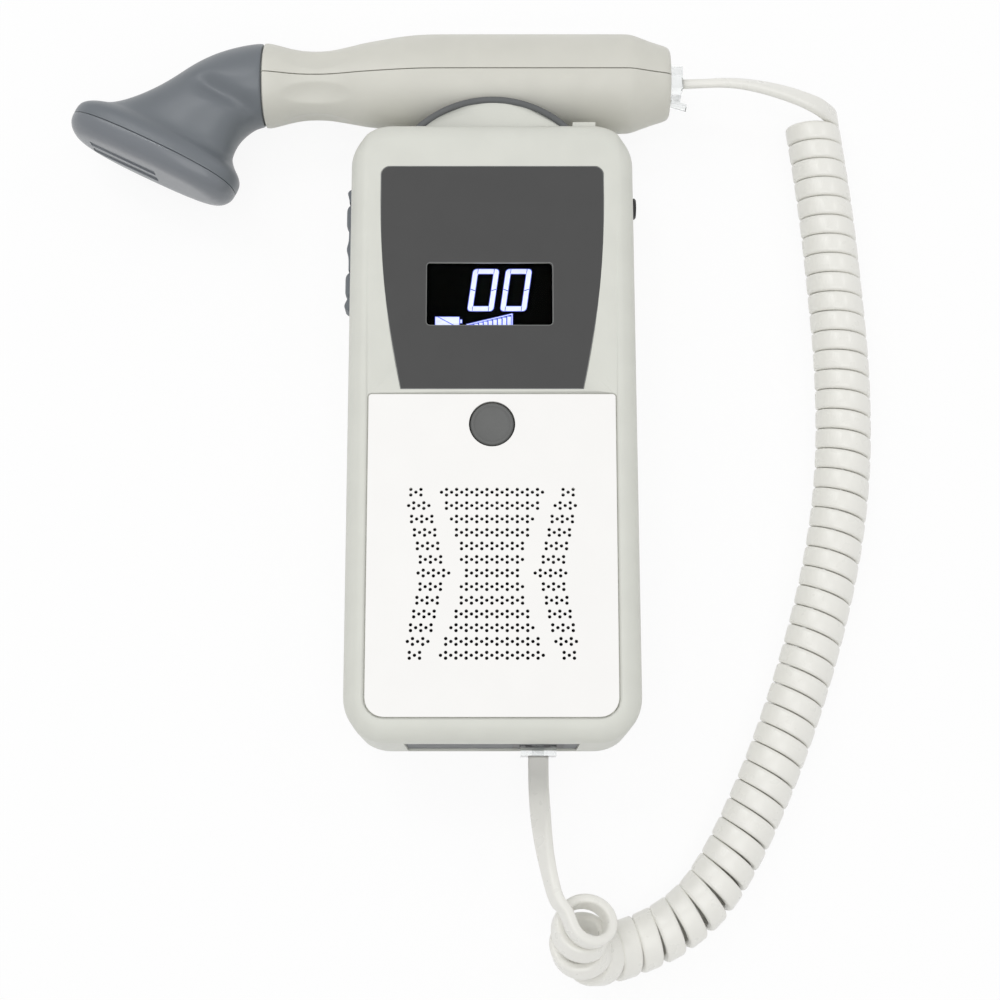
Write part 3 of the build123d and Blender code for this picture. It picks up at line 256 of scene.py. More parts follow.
def gather(parts):
    """One bmesh from several, each moved to its place by its own matrix."""
    whole = bmesh.new()
    for part, place in parts:
        data = bpy.data.meshes.new("part")
        bmesh.ops.transform(part, matrix=place, verts=part.verts)
        part.to_mesh(data)
        part.free()
        whole.from_mesh(data)
        bpy.data.meshes.remove(data)
    return whole


def carved(mesh, kind, **settings):
    """The bmesh as one modifier leaves it."""
    data = bpy.data.meshes.new("work")
    mesh.to_mesh(data)
    mesh.free()
    holder = bpy.data.objects.new("work", data)
    bpy.context.scene.collection.objects.link(holder)
    modifier = holder.modifiers.new("work", kind)
    for setting, value in settings.items():
        setattr(modifier, setting, value)
    ready = holder.evaluated_get(bpy.context.evaluated_depsgraph_get())
    shaped = bpy.data.meshes.new_from_object(ready)
    result = bmesh.new()
    result.from_mesh(shaped)
    bpy.data.objects.remove(holder)
    bpy.data.meshes.remove(data)
    bpy.data.meshes.remove(shaped)
    return result


def cut_away(mesh, cutter):
    """The bmesh less another one, which is used up."""
    data = bpy.data.meshes.new("tool")
    cutter.to_mesh(data)
    cutter.free()
    tool = bpy.data.objects.new("tool", data)
    bpy.context.scene.collection.objects.link(tool)
    result = carved(mesh, "BOOLEAN", object=tool, operation="DIFFERENCE", solver="EXACT")
    bpy.data.objects.remove(tool)
    bpy.data.meshes.remove(data)
    return result


def in_metres(mesh):
    """Turns a bmesh that was made in millimetres to metres."""
    bmesh.ops.scale(mesh, vec=(MM, MM, MM), verts=mesh.verts)


def eased(share):
    """A share from 0 to 1 that starts and stops gently."""
    return share * share * (3 - 2 * share)


def clamped(share):
    """A number kept between 0 and 1."""
    return min(1.0, max(0.0, share))


def rounded_block(low, high, bevel, segments=3):
    """A box between two corners with all its edges rounded."""
    low, high = Vector(low), Vector(high)
    mesh = bmesh.new()
    bmesh.ops.create_cube(mesh, size=1.0)
    bmesh.ops.scale(mesh, vec=high - low, verts=mesh.verts)
    bmesh.ops.translate(mesh, vec=(low + high) / 2, verts=mesh.verts)
    bmesh.ops.bevel(
        mesh, geom=mesh.edges[:], offset=bevel, segments=segments, profile=0.5, affect="EDGES", material=-1,
    )
    return mesh


def grown(ring_mesh, rim, step):
    """Extrudes an open rim of edges once and moves the new rim by a matrix."""
    new = bmesh.ops.extrude_edge_only(ring_mesh, edges=rim)["geom"]
    corners = [part for part in new if isinstance(part, bmesh.types.BMVert)]
    bmesh.ops.transform(ring_mesh, matrix=step, verts=corners)
    return [part for part in new if isinstance(part, bmesh.types.BMEdge)], corners


# Cord: a flat ribbon that follows points read from smooth lines through the route's points

cord_width = 5.5
cord_thickness = 2.6
cord_edge_round = 0.95
curl_diameter = 15.5
curl_count = 48.26
curl_start = -50.0
turning_reach = 7.0
bend_reach = 6.0
bend_share = 0.45
end_opening = 0.3
end_reach = 12.0
end_facing = (0.28, 0.22, 0.93)
axis_step = 0.25
stations_per_curl = 36
coil_axis = [
    (93.3, 97.2, 8.0), (96.2, 75.0, 8.0), (98.3, 47.0, 8.0), (99.8, 20.0, 8.0), (99.0, -8.0, 8.0),
    (94.8, -34.0, 8.0), (87.4, -61.0, 8.0), (78.4, -86.0, 8.0), (69.8, -105.0, 8.0),
    (63.3, -117.0, 8.0), (56.3, -126.8, 8.0), (46.8, -134.0, 8.0), (38.2, -137.6, 8.2),
    (29.0, -140.4, 10.5), (24.6, -139.9, 15.8), (22.6, -137.2, 20.4), (22.8, -133.4, 24.8),
    (24.6, -130.5, 29.2), (25.8, -129.1, 32.2),
]
unit_plug_rear = (12.45, -87.7, 15.3)
unit_lead_points = [
    (12.4, -93.0, 15.6), (12.6, -100.5, 21.5), (13.3, -110.0, 28.6), (14.7, -118.6, 33.4),
    (16.6, -126.0, 35.3),
]
probe_plug_rear = (54.4, 104.4, 19.0)
probe_lead_points = [
    (60.0, 104.5, 19.2), (68.0, 104.9, 19.4), (77.0, 103.7, 19.3), (86.0, 101.3, 18.8), (93.0, 98.8, 17.8),
]
probe_plug_flat = Vector((0, 0.93, 0.37))
lead_end_run = 3.5
lead_step = 0.8
length_stations = 60


def smooth_line(route, step):
    """Points step apart on the NURBS line that has the route's points as its control points."""
    curve = bpy.data.curves.new("route", "CURVE")
    curve.dimensions = "3D"
    curve.resolution_u = 64
    spline = curve.splines.new("NURBS")
    spline.points.add(len(route) - 1)
    for target, place in zip(spline.points, route):
        target.co = (*place, 1)
    spline.order_u = 3
    spline.use_endpoint_u = True
    holder = bpy.data.objects.new("route", curve)
    line = bpy.data.meshes.new_from_object(holder)
    read = [vertex.co.copy() for vertex in line.vertices]
    bpy.data.objects.remove(holder)
    bpy.data.curves.remove(curve)
    bpy.data.meshes.remove(line)
    lengths = [0.0]
    for before, after in zip(read, read[1:]):
        lengths.append(lengths[-1] + (after - before).length)
    count = round(lengths[-1] / step)
    points, index = [], 0
    for number in range(count + 1):
        wanted = lengths[-1] * number / count
        while index < len(read) - 2 and lengths[index + 1] < wanted:
            index += 1
        share = (wanted - lengths[index]) / (lengths[index + 1] - lengths[index])
        points.append(read[index].lerp(read[index + 1], share))
    return points


def directions_of(points):
    """The direction at each point of a line."""
    found = [(after - before).normalized() for before, after in zip(points, points[1:])]
    return found + [found[-1]]


def coil_stations():
    """Place and outward direction of the cord at even steps through its curls.

    A curl turns into a bend a little early and leaves it a little late. The curls are
    fewer where the coil bends, so that they fan, and the last ones stand apart.
    """
    centres = smooth_line(coil_axis, axis_step)
    headings = directions_of(centres)
    reach = round(turning_reach / axis_step)
    weights = [1 + math.cos(math.pi * off / (reach + 1)) for off in range(-reach, reach + 1)]
    facings, loosening = [], []
    for index in range(len(centres)):
        total = Vector()
        for off, weight in zip(range(-reach, reach + 1), weights):
            if 0 <= index + off < len(centres):
                total += headings[index + off] * weight
        remaining = (len(centres) - index) * axis_step
        loosening.append(max(0.0, 1 - remaining / end_reach))
        facings.append(total.normalized().lerp(Vector(end_facing), eased(loosening[-1])).normalized())
    sides = []
    side = Vector((0, 0, 1))
    for facing in facings:
        side = (side - facing * facing.dot(side)).normalized()
        sides.append(side)
    reach = round(bend_reach / axis_step)
    made = [0.0]
    for index in range(1, len(centres)):
        low, high = max(0, index - reach), min(len(centres) - 1, index + reach)
        bend = facings[low].angle(facings[high]) / ((high - low) * axis_step)
        forward = headings[index - 1].dot(facings[index])
        fanned = 1 - bend_share * bend * curl_diameter / 2
        made.append(made[-1] + forward * fanned * (1 - end_opening * loosening[index]))
    made = [share * curl_count / made[-1] for share in made]
    radius = (curl_diameter - cord_thickness) / 2
    stations, index = [], 0
    count = round(curl_count * stations_per_curl)
    for number in range(count + 1):
        curl = curl_count * number / count
        while index < len(centres) - 2 and made[index + 1] < curl:
            index += 1
        share = (curl - made[index]) / (made[index + 1] - made[index])
        centre = centres[index].lerp(centres[index + 1], share)
        facing = facings[index].lerp(facings[index + 1], share).normalized()
        side = sides[index].lerp(sides[index + 1], share).normalized()
        angle = math.radians(curl_start) - 2 * math.pi * curl
        outward = side * math.cos(angle) + facing.cross(side) * math.sin(angle)
        stations.append((centre + outward * radius, outward))
    return stations


def lead_stations(plug_rear, plug_flat, chosen, coil_place, coil_heading, coil_flat):
    """Stations from a plug to the coil, the flat side turning from the plug's to the coil's."""
    route = [plug_rear, *chosen, tuple(coil_place + coil_heading * lead_end_run), tuple(coil_place)]
    points = smooth_line(route, lead_step)
    if coil_flat.dot(plug_flat) < 0:
        coil_flat = -coil_flat
    last = len(points) - 1
    found = []
    for number, place in enumerate(points):
        found.append((place, plug_flat.lerp(coil_flat, eased(number / last))))
    return found


def ribbon(name, stations):
    """A flat bar with rounded edges, extruded from station to station in lengths that are then joined."""
    places = [place for place, outward in stations]
    poses = []
    for index, (place, outward) in enumerate(stations):
        before, after = places[max(0, index - 1)], places[min(len(places) - 1, index + 1)]
        heading = (after - before).normalized()
        outward = (outward - heading * heading.dot(outward)).normalized()
        pose = Matrix((heading.cross(outward), outward, heading)).transposed().to_4x4()
        pose.translation = place
        poses.append(Matrix.Scale(MM, 4) @ pose)
    lengths = []
    for first in range(0, len(poses) - 1, length_stations):
        part = poses[first:first + length_stations + 1]
        mesh = bmesh.new()
        bmesh.ops.create_grid(mesh, x_segments=1, y_segments=1, size=0.5)
        bmesh.ops.scale(mesh, vec=(cord_width, cord_thickness, 1), verts=mesh.verts)
        bmesh.ops.bevel(
            mesh, geom=mesh.verts[:], offset=cord_edge_round, segments=4, profile=0.5,
            affect="VERTICES", material=-1,
        )
        bmesh.ops.transform(mesh, matrix=part[0], verts=mesh.verts)
        rim = mesh.edges[:]
        ends = mesh.faces[:]
        for before, after in zip(part, part[1:]):
            rim, corners = grown(mesh, rim, after @ before.inverted())
        if first:
            bmesh.ops.delete(mesh, geom=ends, context="FACES_ONLY")
        if first + length_stations + 1 >= len(poses):
            bmesh.ops.edgeloop_fill(mesh, edges=rim)
        lengths.append((mesh, Matrix.Identity(4)))
    whole = gather(lengths)
    bmesh.ops.remove_doubles(whole, verts=whole.verts, dist=0.002 * MM)
    bmesh.ops.recalc_face_normals(whole, faces=whole.faces)
    return piece(name, whole, [cord_jacket], None), places


coil = coil_stations()
coil_first, coil_last = coil[0][0], coil[-1][0]
first_heading = (coil[1][0] - coil_first).normalized()
last_heading = (coil_last - coil[-2][0]).normalized()
unit_side = lead_stations(
    unit_plug_rear, Vector((0, 0, 1)), unit_lead_points, coil_last, last_heading, coil[-1][1],
)
probe_side = lead_stations(
    probe_plug_rear, probe_plug_flat, probe_lead_points, coil_first, -first_heading, coil[0][1],
)
whole_cord = unit_side[:-1] + coil[::-1] + probe_side[-2::-1]
flat_cord, cord_line = ribbon("flat_cord", whole_cord)
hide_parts("unit_lead", "curly_cord", "probe_lead")
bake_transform(flat_cord)


# Housings: the CAD shells with their side walls drawn in to the photograph's outline

shave_start = 34.0
shave_length = 3.5
shave_left = 0.75
shave_right = (0.38, 0.95)
shave_low_end = -70.0
shave_run = 150.0


def shaved_housing(name, node):
    """A copy of a housing whose sides are a little further in."""
    mesh = bmesh.new()
    mesh.from_mesh(nodes[node].data)
    bmesh.ops.remove_doubles(mesh, verts=mesh.verts, dist=0.002 * MM)
    for vertex in mesh.verts:
        x, y = vertex.co.x / MM, vertex.co.y / MM
        share = eased(clamped((abs(x) - shave_start) / shave_length))
        rise = clamped((y - shave_low_end) / shave_run)
        pull = shave_left if x < 0 else shave_right[0] + (shave_right[1] - shave_right[0]) * rise
        vertex.co.x -= math.copysign(share * pull * MM, x)
    housing = piece(name, mesh, [ivory_case], "unit", stands_for=[node])
    housing.data.set_sharp_from_angle(angle=math.radians(24))
    evened = housing.modifiers.new("evened", "WEIGHTED_NORMAL")
    evened.keep_sharp = True


shaved_housing("front_shell", "front_housing")
shaved_housing("rear_shell", "rear_housing")


# Side keypad: a low wavy rubber strip, and its two domed keys

strip_place = (53.3, 19.0)
strip_size = (35.8, 7.8)
strip_top = -40.45
strip_waves = [(70.4, 2.2, 0.5), (53.6, 3.0, 0.55), (37.0, 2.8, 1.0)]
strip_back = -36.1
side_roll_start = 0.32
side_roll_depth = 1.6
end_roll_start = 0.475
end_roll_depth = 0.9
key_boxes = [("volume_up", 59.2, 67.4, -41.2), ("volume_down", 39.2, 47.4, -41.35)]
key_back = -35.1
key_low = 15.7
key_high = 22.3
key_room = 0.15
strip_mesh = bmesh.new()
bmesh.ops.create_grid(strip_mesh, x_segments=80, y_segments=12, size=0.5)
for vertex in strip_mesh.verts:
    across, up = vertex.co.x, vertex.co.y
    y = strip_place[0] + across * strip_size[0]
    wave = sum(high * math.exp(-(((y - at) / (0.6 * half)) ** 2)) for at, half, high in strip_waves)
    fall = clamped((abs(up) - side_roll_start) / (0.5 - side_roll_start))
    ends = max(0.0, abs(across) - end_roll_start) / (0.5 - end_roll_start)
    x = strip_top - wave + side_roll_depth * (1 - math.sqrt(1 - fall**2)) + end_roll_depth * ends**2
    vertex.co = (x, y, strip_place[1] + up * strip_size[1])
border = [edge for edge in strip_mesh.edges if edge.is_boundary]
border, corners = grown(strip_mesh, border, Matrix.Identity(4))
for vertex in corners:
    vertex.co.x = strip_back
bmesh.ops.edgeloop_fill(strip_mesh, edges=border)
bmesh.ops.recalc_face_normals(strip_mesh, faces=strip_mesh.faces)
for key, low, high, top in key_boxes:
    room = rounded_block(
        (-42.0, low - key_room, key_low - key_room), (-35.0, high + key_room, key_high + key_room), 0.6,
    )
    strip_mesh = cut_away(strip_mesh, room)
    dome = rounded_block((top, low, key_low), (key_back, high, key_high), 2.2, 6)
    in_metres(dome)
    piece(key + "_dome", dome, [keypad_rubber], key + "_key", stands_for=[key + "_key"])
in_metres(strip_mesh)
strip = piece("keypad_strip", strip_mesh, [keypad_rubber], "unit", stands_for=["side_keypad"])
strip.data.set_sharp_from_angle(angle=math.radians(50))


# Flat plates: an outline and its openings, filled and given a thickness


def rounded_box_outline(mesh, middle, width, height, low_round, high_round, z):
    """A rectangle of edges with its lower and upper corners rounded."""
    made = bmesh.ops.create_grid(mesh, x_segments=1, y_segments=1, size=0.5)["verts"]
    bmesh.ops.scale(mesh, vec=(width, height, 1), verts=made)
    bmesh.ops.translate(mesh, vec=(*middle, z), verts=made)
    for chosen, amount in (
        ([v for v in made if v.co.y < middle[1]], low_round),
        ([v for v in made if v.co.y > middle[1]], high_round),
    ):
        bmesh.ops.bevel(
            mesh, geom=chosen, offset=amount, segments=6, profile=0.5, affect="VERTICES", material=-1,
        )
    bmesh.ops.delete(mesh, geom=mesh.faces[:], context="FACES_ONLY")


def filled_plate(mesh, thickness):
    """Fills the outlines with their openings left out, and extrudes the plate downwards."""
    bmesh.ops.triangle_fill(mesh, edges=mesh.edges[:], use_beauty=True)
    grown_part = bmesh.ops.extrude_face_region(mesh, geom=mesh.faces[:])["geom"]
    lower = [part for part in grown_part if isinstance(part, bmesh.types.BMVert)]
    bmesh.ops.translate(mesh, vec=(0, 0, -thickness), verts=lower)
    bmesh.ops.recalc_face_normals(mesh, faces=mesh.faces)


# Speaker plate: thirteen rows of columns of one hole or two, a waisted block between two wings

plate_width = 66.2
plate_low = -79.0
plate_high = 7.3
plate_top = 37.9
plate_thickness = 1.0
button_place = (0, -0.9)
button_hole_radius = 6.2
hole_radius = 0.48
row_middle = -41.25
row_pitch = 3.62
column_pitch = 1.34
pair_offset = 0.76
block_reach = (5, 6, 6, 7, 8, 9, 10)
block_turned = (2,)
wing_place = 15.4
wing_lean = 0.8
wing_reach = (3, 2, 2, 2, 2, 2, 1)
wing_turned = (0, 1, 2, 3, 4)


def hole_places():
    """Centres of all the plate's small holes."""
    places = []
    for row in range(-6, 7):
        away = abs(row)
        wing = wing_place + wing_lean * away
        groups = [(0, block_reach[away], away in block_turned)]
        groups += [(side * wing, wing_reach[away], away in wing_turned) for side in (-1, 1)]
        for middle, reach, turned in groups:
            for column in range(-reach, reach + 1):
                paired = (column % 2 == 1) != turned
                lifts = (-pair_offset, pair_offset) if paired else (0,)
                for lift in lifts:
                    y = row_middle + row * row_pitch + lift
                    places.append((middle + column * column_pitch, y))
    return places


plate_mesh = bmesh.new()
rounded_box_outline(
    plate_mesh, (0, (plate_low + plate_high) / 2), plate_width, plate_high - plate_low, 5.0, 0.8, plate_top,
)
openings = [(button_place, button_hole_radius, 48)]
openings += [(hole, hole_radius, 10) for hole in hole_places()]
for middle, radius, segments in openings:
    bmesh.ops.create_circle(
        plate_mesh, segments=segments, radius=radius, matrix=Matrix.Translation((*middle, plate_top)),
    )
filled_plate(plate_mesh, plate_thickness)
in_metres(plate_mesh)
piece(
    "perforated_plate", plate_mesh, [white_plate_and_reflection], "unit", smooth=False,
    stands_for=["speaker_plate"],
)


# Display overlay: a dark printed label whose rim all round is painted paler, a painted highlight along its
# cut edges

case_front = 38.0
label_half = 30.6
label_top = 72.0
label_shoulder = 62.0
label_side = [
    (label_half, label_shoulder, 0), (label_half, 48.0, 0), (28.4, 28.0, 0), (24.6, 8.7, 0),
]
label_corner = 2.6
label_edge_width = 0.2
label_edge_drop = 0.03
label_thickness = 0.4
opening_middle = (-0.68, 35.37)
opening_size = (34.15, 17.56)
overlay_mesh = bmesh.new()
outline = [
    (-label_half, label_shoulder), (-label_half, label_top), (label_half, label_top),
    (label_half, label_shoulder),
]
side_line = smooth_line(label_side, 4.0)
outline += [(point.x, point.y) for point in side_line[1:]]
outline += [(-point.x, point.y) for point in side_line[:0:-1]]
corners = [overlay_mesh.verts.new((x, y, case_front)) for x, y in outline]
overlay_mesh.faces.new(corners)
bmesh.ops.bevel(
    overlay_mesh, geom=corners[1:3], offset=label_corner, segments=7, profile=0.5, affect="VERTICES",
    material=-1,
)
bmesh.ops.delete(overlay_mesh, geom=overlay_mesh.faces[:], context="FACES_ONLY")
rounded_box_outline(overlay_mesh, opening_middle, *opening_size, 1.0, 1.0, case_front)
bmesh.ops.triangle_fill(overlay_mesh, edges=overlay_mesh.edges[:], use_beauty=True)
printed = overlay_mesh.faces[:]
rim = bmesh.ops.inset_region(
    overlay_mesh, faces=printed, thickness=label_edge_width, depth=label_edge_drop,
    use_even_offset=True, use_boundary=True,
)["faces"]
# The rim gets the lighter grey: a painted highlight along the outer edge and along the window's edge
for face in rim:
    face.material_index = 1
border = [edge for edge in overlay_mesh.edges if edge.is_boundary]
grown(overlay_mesh, border, Matrix.Translation((0, 0, -label_thickness)))
bmesh.ops.translate(overlay_mesh, vec=(0, 0, -label_edge_drop), verts=overlay_mesh.verts)
bmesh.ops.recalc_face_normals(overlay_mesh, faces=overlay_mesh.faces)
in_metres(overlay_mesh)
piece(
    "printed_overlay", overlay_mesh, [dark_label, label_edge_highlight], "unit", smooth=False,
    stands_for=["display_overlay"],
)


# The label's seat has square corners, which small fillers in the case's plastic close

seat_corner = (30.68, 72.08)
corner_round = 2.66
fillers = []
for side in (-1, 1):
    mesh = bmesh.new()
    first = mesh.verts.new((side * seat_corner[0], seat_corner[1] - corner_round, case_front))
    bmesh.ops.spin(
        mesh, geom=[first], cent=(side * (seat_corner[0] - corner_round), first.co.y, case_front),
        axis=(0, 0, side), angle=math.pi / 2, steps=8,
    )
    tip = mesh.verts.new((side * seat_corner[0], seat_corner[1], case_front))
    for vertex in [v for v in mesh.verts if v is not tip and len(v.link_edges) == 1]:
        mesh.edges.new((vertex, tip))
    filled_plate(mesh, label_thickness)
    fillers.append((mesh, Matrix.Scale(MM, 4)))
piece("corner_fillers", gather(fillers), [ivory_case], "unit", smooth=False)


# Display: lit digits and signs on the dark glass

display_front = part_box("lcd_module")[1].z / MM + 0.02


def lit_shape(width, height, cut):
    """A thin flat bar with cut corners, centred on its own origin."""
    mesh = bmesh.new()
    bmesh.ops.create_grid(mesh, x_segments=1, y_segments=1, size=0.5)
    bmesh.ops.scale(mesh, vec=(width, height, 1), verts=mesh.verts)
    if cut:
        bmesh.ops.bevel(
            mesh, geom=mesh.verts[:], offset=cut, segments=2, profile=0.5, affect="VERTICES", material=-1,
        )
    return mesh


digit_width = 7.0
digit_height = 11.9
stroke = 1.3
digit_slant = 0.14
digit_middles = (-2.43, 6.51)
digit_y = 37.17


def nought(more):
    """A nought as one rounded ring of even stroke, grown by a small margin all round."""
    mesh = bmesh.new()
    rounded_box_outline(mesh, (0, 0), digit_width + more, digit_height + more, 1.0, 1.0, 0)
    inner = (digit_width - 2 * stroke - more, digit_height - 2 * stroke - more)
    rounded_box_outline(mesh, (0, 0), *inner, 0.25, 0.25, 0)
    bmesh.ops.triangle_fill(mesh, edges=mesh.edges[:], use_beauty=True)
    return [(mesh, Matrix.Identity(4))]


def segment_gaps():
    """The thin lines between a nought's six segments."""
    aside, above = digit_width / 2 - stroke, digit_height / 2 - stroke / 2
    parts = []
    for side in (-1, 1):
        middle = Matrix.Translation((side * (aside + stroke / 2), 0, 0))
        parts.append((lit_shape(stroke, 0.24, 0), middle @ Matrix.Rotation(0.35 * side, 4, "Z")))
        for end in (-1, 1):
            parts.append((lit_shape(0.18, stroke, 0), Matrix.Translation((side * aside, end * above, 0))))
    return parts


def digits(name, finish, shapes, lift):
    """Two noughts, or parts of them, leaning to the right."""
    slant = Matrix(((1, digit_slant, 0, 0), (0, 1, 0, 0), (0, 0, 1, 0), (0, 0, 0, 1)))
    parts = []
    for middle_x in digit_middles:
        move = Matrix.Translation((middle_x, digit_y, display_front + lift))
        parts += [(bar, Matrix.Scale(MM, 4) @ move @ slant @ place) for bar, place in shapes()]
    return piece(name, gather(parts), [finish], "unit", smooth=False)


digits("digit_glow", lit_blue, lambda: nought(0.26), 0.0)
digits("digits", lit_white, lambda: nought(0.0), 0.04)
digits("digit_gaps", lit_gap, segment_gaps, 0.08)

# Battery sign and a rising signal wedge; the window's lower edge cuts both

battery_left = -15.6
battery_right = -8.8
sign_low = 26.2
battery_high = 29.7


def sign(name, finish, bars, lift):
    """Flat lit bars: middle, size and lean of each."""
    parts = []
    for (x, y), (width, height), lean in bars:
        move = Matrix.Translation((x, y, display_front + lift)) @ Matrix.Rotation(lean, 4, "Z")
        parts.append((lit_shape(width, height, 0), Matrix.Scale(MM, 4) @ move))
    return piece(name, gather(parts), [finish], "unit", smooth=False)


battery_middle = ((battery_left + battery_right) / 2, (sign_low + battery_high) / 2)
battery_width = battery_right - battery_left
battery_height = battery_high - sign_low
wedge_left = -6.9
wedge_right = 5.4
wedge_count = 9
wedge_lean = math.atan2(3.0, wedge_right - wedge_left)
wedge_bars = []
for number in range(wedge_count):
    place = wedge_left + 1.3 + (wedge_right - wedge_left - 2.1) * number / (wedge_count - 1)
    top = 27.05 + 2.75 * (place - wedge_left) / (wedge_right - wedge_left)
    wedge_bars.append(((place, (sign_low + top) / 2), (0.92, top - sign_low), 0.0))
wedge_lines = [
    (((wedge_left + wedge_right) / 2, 28.85), (12.7, 0.2), wedge_lean),
    ((wedge_right, 28.3), (0.2, 4.1), 0.0),
]
signs = [
    (battery_middle, (battery_width - 0.36, battery_height - 0.36), 0.0),
    ((battery_right + 0.35, 28.3), (0.4, 0.9), 0.0),
]
signs += wedge_bars + wedge_lines
glow_bars = [(at, (wide + 0.3, high + 0.3), lean) for at, (wide, high), lean in signs]
slash_middle = (battery_middle[0] + 0.2, battery_middle[1] + 0.1)
sign("sign_glow", lit_blue, glow_bars, 0.0)
sign("signs", lit_white, signs, 0.04)
sign("battery_slash", lit_blue, [(slash_middle, (6.4, 0.24), -0.5)], 0.08)


# Power button: a cap with a raised soft rim and a shallow dish, on its flange and stem

button_profile = [
    (0, 27.1), (2.5, 27.1), (2.5, 34.4), (7.4, 34.4), (7.4, 35.4), (5.85, 35.4), (5.85, 37.35),
    (5.74, 37.72), (5.5, 37.94), (5.2, 37.99), (4.9, 37.92), (4.7, 37.78), (4.45, 37.7), (0, 37.62),
]


def turned(profile, centre, steps=48):
    """A closed turned piece about an upright axis, from radius and height pairs."""
    mesh = bmesh.new()
    line = [mesh.verts.new((centre[0] + radius, centre[1], z)) for radius, z in profile]
    edges = [mesh.edges.new(pair) for pair in zip(line, line[1:])]
    bmesh.ops.spin(
        mesh, geom=line + edges, cent=(*centre, 0), axis=(0, 0, 1), angle=2 * math.pi, steps=steps,
        use_merge=True,
    )
    bmesh.ops.remove_doubles(mesh, verts=mesh.verts, dist=0.001)
    bmesh.ops.recalc_face_normals(mesh, faces=mesh.faces)
    return mesh


button_mesh = turned(button_profile, button_place)
in_metres(button_mesh)
piece("button_cap", button_mesh, [button_rubber], "power_button", stands_for=["power_button"])


# Cradle: a round bead of the liner's rubber along the top of the cradle's arc

bead_centre = (0, 64.5, 31.3)
bead_arc_radius = 29.75
bead_mesh = bmesh.new()
bead_ring = bmesh.ops.create_circle(bead_mesh, segments=12, radius=0.95)["verts"]
bead_turn = Matrix.Rotation(math.radians(90), 4, "X")
bead_start = math.radians(43.2)
place = Matrix.Translation(bead_centre) @ Matrix.Rotation(bead_start, 4, "Z")
bmesh.ops.transform(
    bead_mesh, matrix=place @ Matrix.Translation((bead_arc_radius, 0, 0)) @ bead_turn, verts=bead_ring,
)
bmesh.ops.spin(
    bead_mesh, geom=bead_mesh.verts[:] + bead_mesh.edges[:], cent=bead_centre, axis=(0, 0, 1),
    angle=math.pi - 2 * bead_start, steps=40,
)
bmesh.ops.holes_fill(bead_mesh, edges=bead_mesh.edges)
bmesh.ops.recalc_face_normals(bead_mesh, faces=bead_mesh.faces)
in_metres(bead_mesh)
piece("liner_bead", bead_mesh, [liner_rubber], "unit")


# Probe handle: two turned halves with a fine seam between them and finger dimples round the waist

handle_y = 104.4
handle_z = 19.0
handle_profile = [
    (-66.2, 9.0), (-65.35, 10.9), (-65.25, 11.75), (-64.9, 12.0), (-63.5, 11.9), (-60.5, 11.15),
    (-57.2, 10.3), (-54.0, 9.78), (-50.5, 9.66), (-47.0, 9.8), (-43.4, 10.4), (-40.0, 11.1),
    (-36.5, 11.85), (-33.0, 12.35), (-29.6, 12.85), (-26.1, 13.35), (-22.7, 13.72), (-19.2, 13.95),
    (-15.0, 14.03), (-5.0, 14.04), (10.0, 14.04), (25.0, 14.04), (34.0, 14.04), (38.2, 14.03),
    (39.4, 13.9), (40.8, 13.5), (43.2, 12.6), (46.2, 11.55), (48.9, 10.75), (50.0, 10.3),
    (50.6, 9.7), (50.8, 8.9), (50.8, 6.6), (49.0, 6.6),
]
neck_drop = 0.55
neck_drop_start = -24.0
neck_drop_run = 26.0
seam_y = 103.2
seam_gap = 0.16
dimple_middle = -50.0
dimple_half_length = 9.9
dimple_half_width = 3.2
dimple_first_angle = -34.5
dimple_pitch = 60
dimple_sink = 0.85


def handle_surface():
    """The handle's whole outer form in millimetres, turned, lowered at its neck and dimpled."""
    line = smooth_line([(x, radius, 0) for x, radius in handle_profile], 0.8)
    mesh = bmesh.new()
    corners = [mesh.verts.new((point.x, handle_y + point.y, handle_z)) for point in line]
    edges = [mesh.edges.new(pair) for pair in zip(corners, corners[1:])]
    bmesh.ops.spin(
        mesh, geom=corners + edges, cent=(0, handle_y, handle_z), axis=(1, 0, 0), angle=2 * math.pi,
        steps=144, use_merge=True,
    )
    bmesh.ops.holes_fill(mesh, edges=mesh.edges)
    for vertex in mesh.verts:
        across = Vector((0, vertex.co.y - handle_y, vertex.co.z - handle_z))
        along = abs(vertex.co.x - dimple_middle) / dimple_half_length
        if along < 1 and across.length > 8:
            angle = math.degrees(math.atan2(across.y, across.z))
            nearest = (angle - dimple_first_angle + dimple_pitch / 2) % dimple_pitch - dimple_pitch / 2
            aside = abs(math.radians(nearest)) * across.length / dimple_half_width
            reach = along**2 + aside**2
            if reach < 1:
                vertex.co -= across.normalized() * dimple_sink * (1 - reach)
        vertex.co.y -= neck_drop * eased(clamped((neck_drop_start - vertex.co.x) / neck_drop_run))
    return mesh


for name, side, node in (
    ("handle_upper", 1, "probe_upper_shell"), ("handle_lower", -1, "probe_lower_shell"),
):
    half = handle_surface()
    bmesh.ops.bisect_plane(
        half, geom=half.verts[:] + half.edges[:] + half.faces[:], dist=0.0001,
        plane_co=(0, seam_y + side * seam_gap, 0), plane_no=(0, -side, 0), clear_outer=True,
    )
    bmesh.ops.holes_fill(half, edges=half.edges)
    bmesh.ops.recalc_face_normals(half, faces=half.faces)
    in_metres(half)
    shell = piece(name, half, [ivory_handle], "probe", stands_for=[node])
    shell.data.set_sharp_from_angle(angle=math.radians(40))


# Probe head: a cage of rings from the neck to the wide foot, smoothed, with a crease on each side

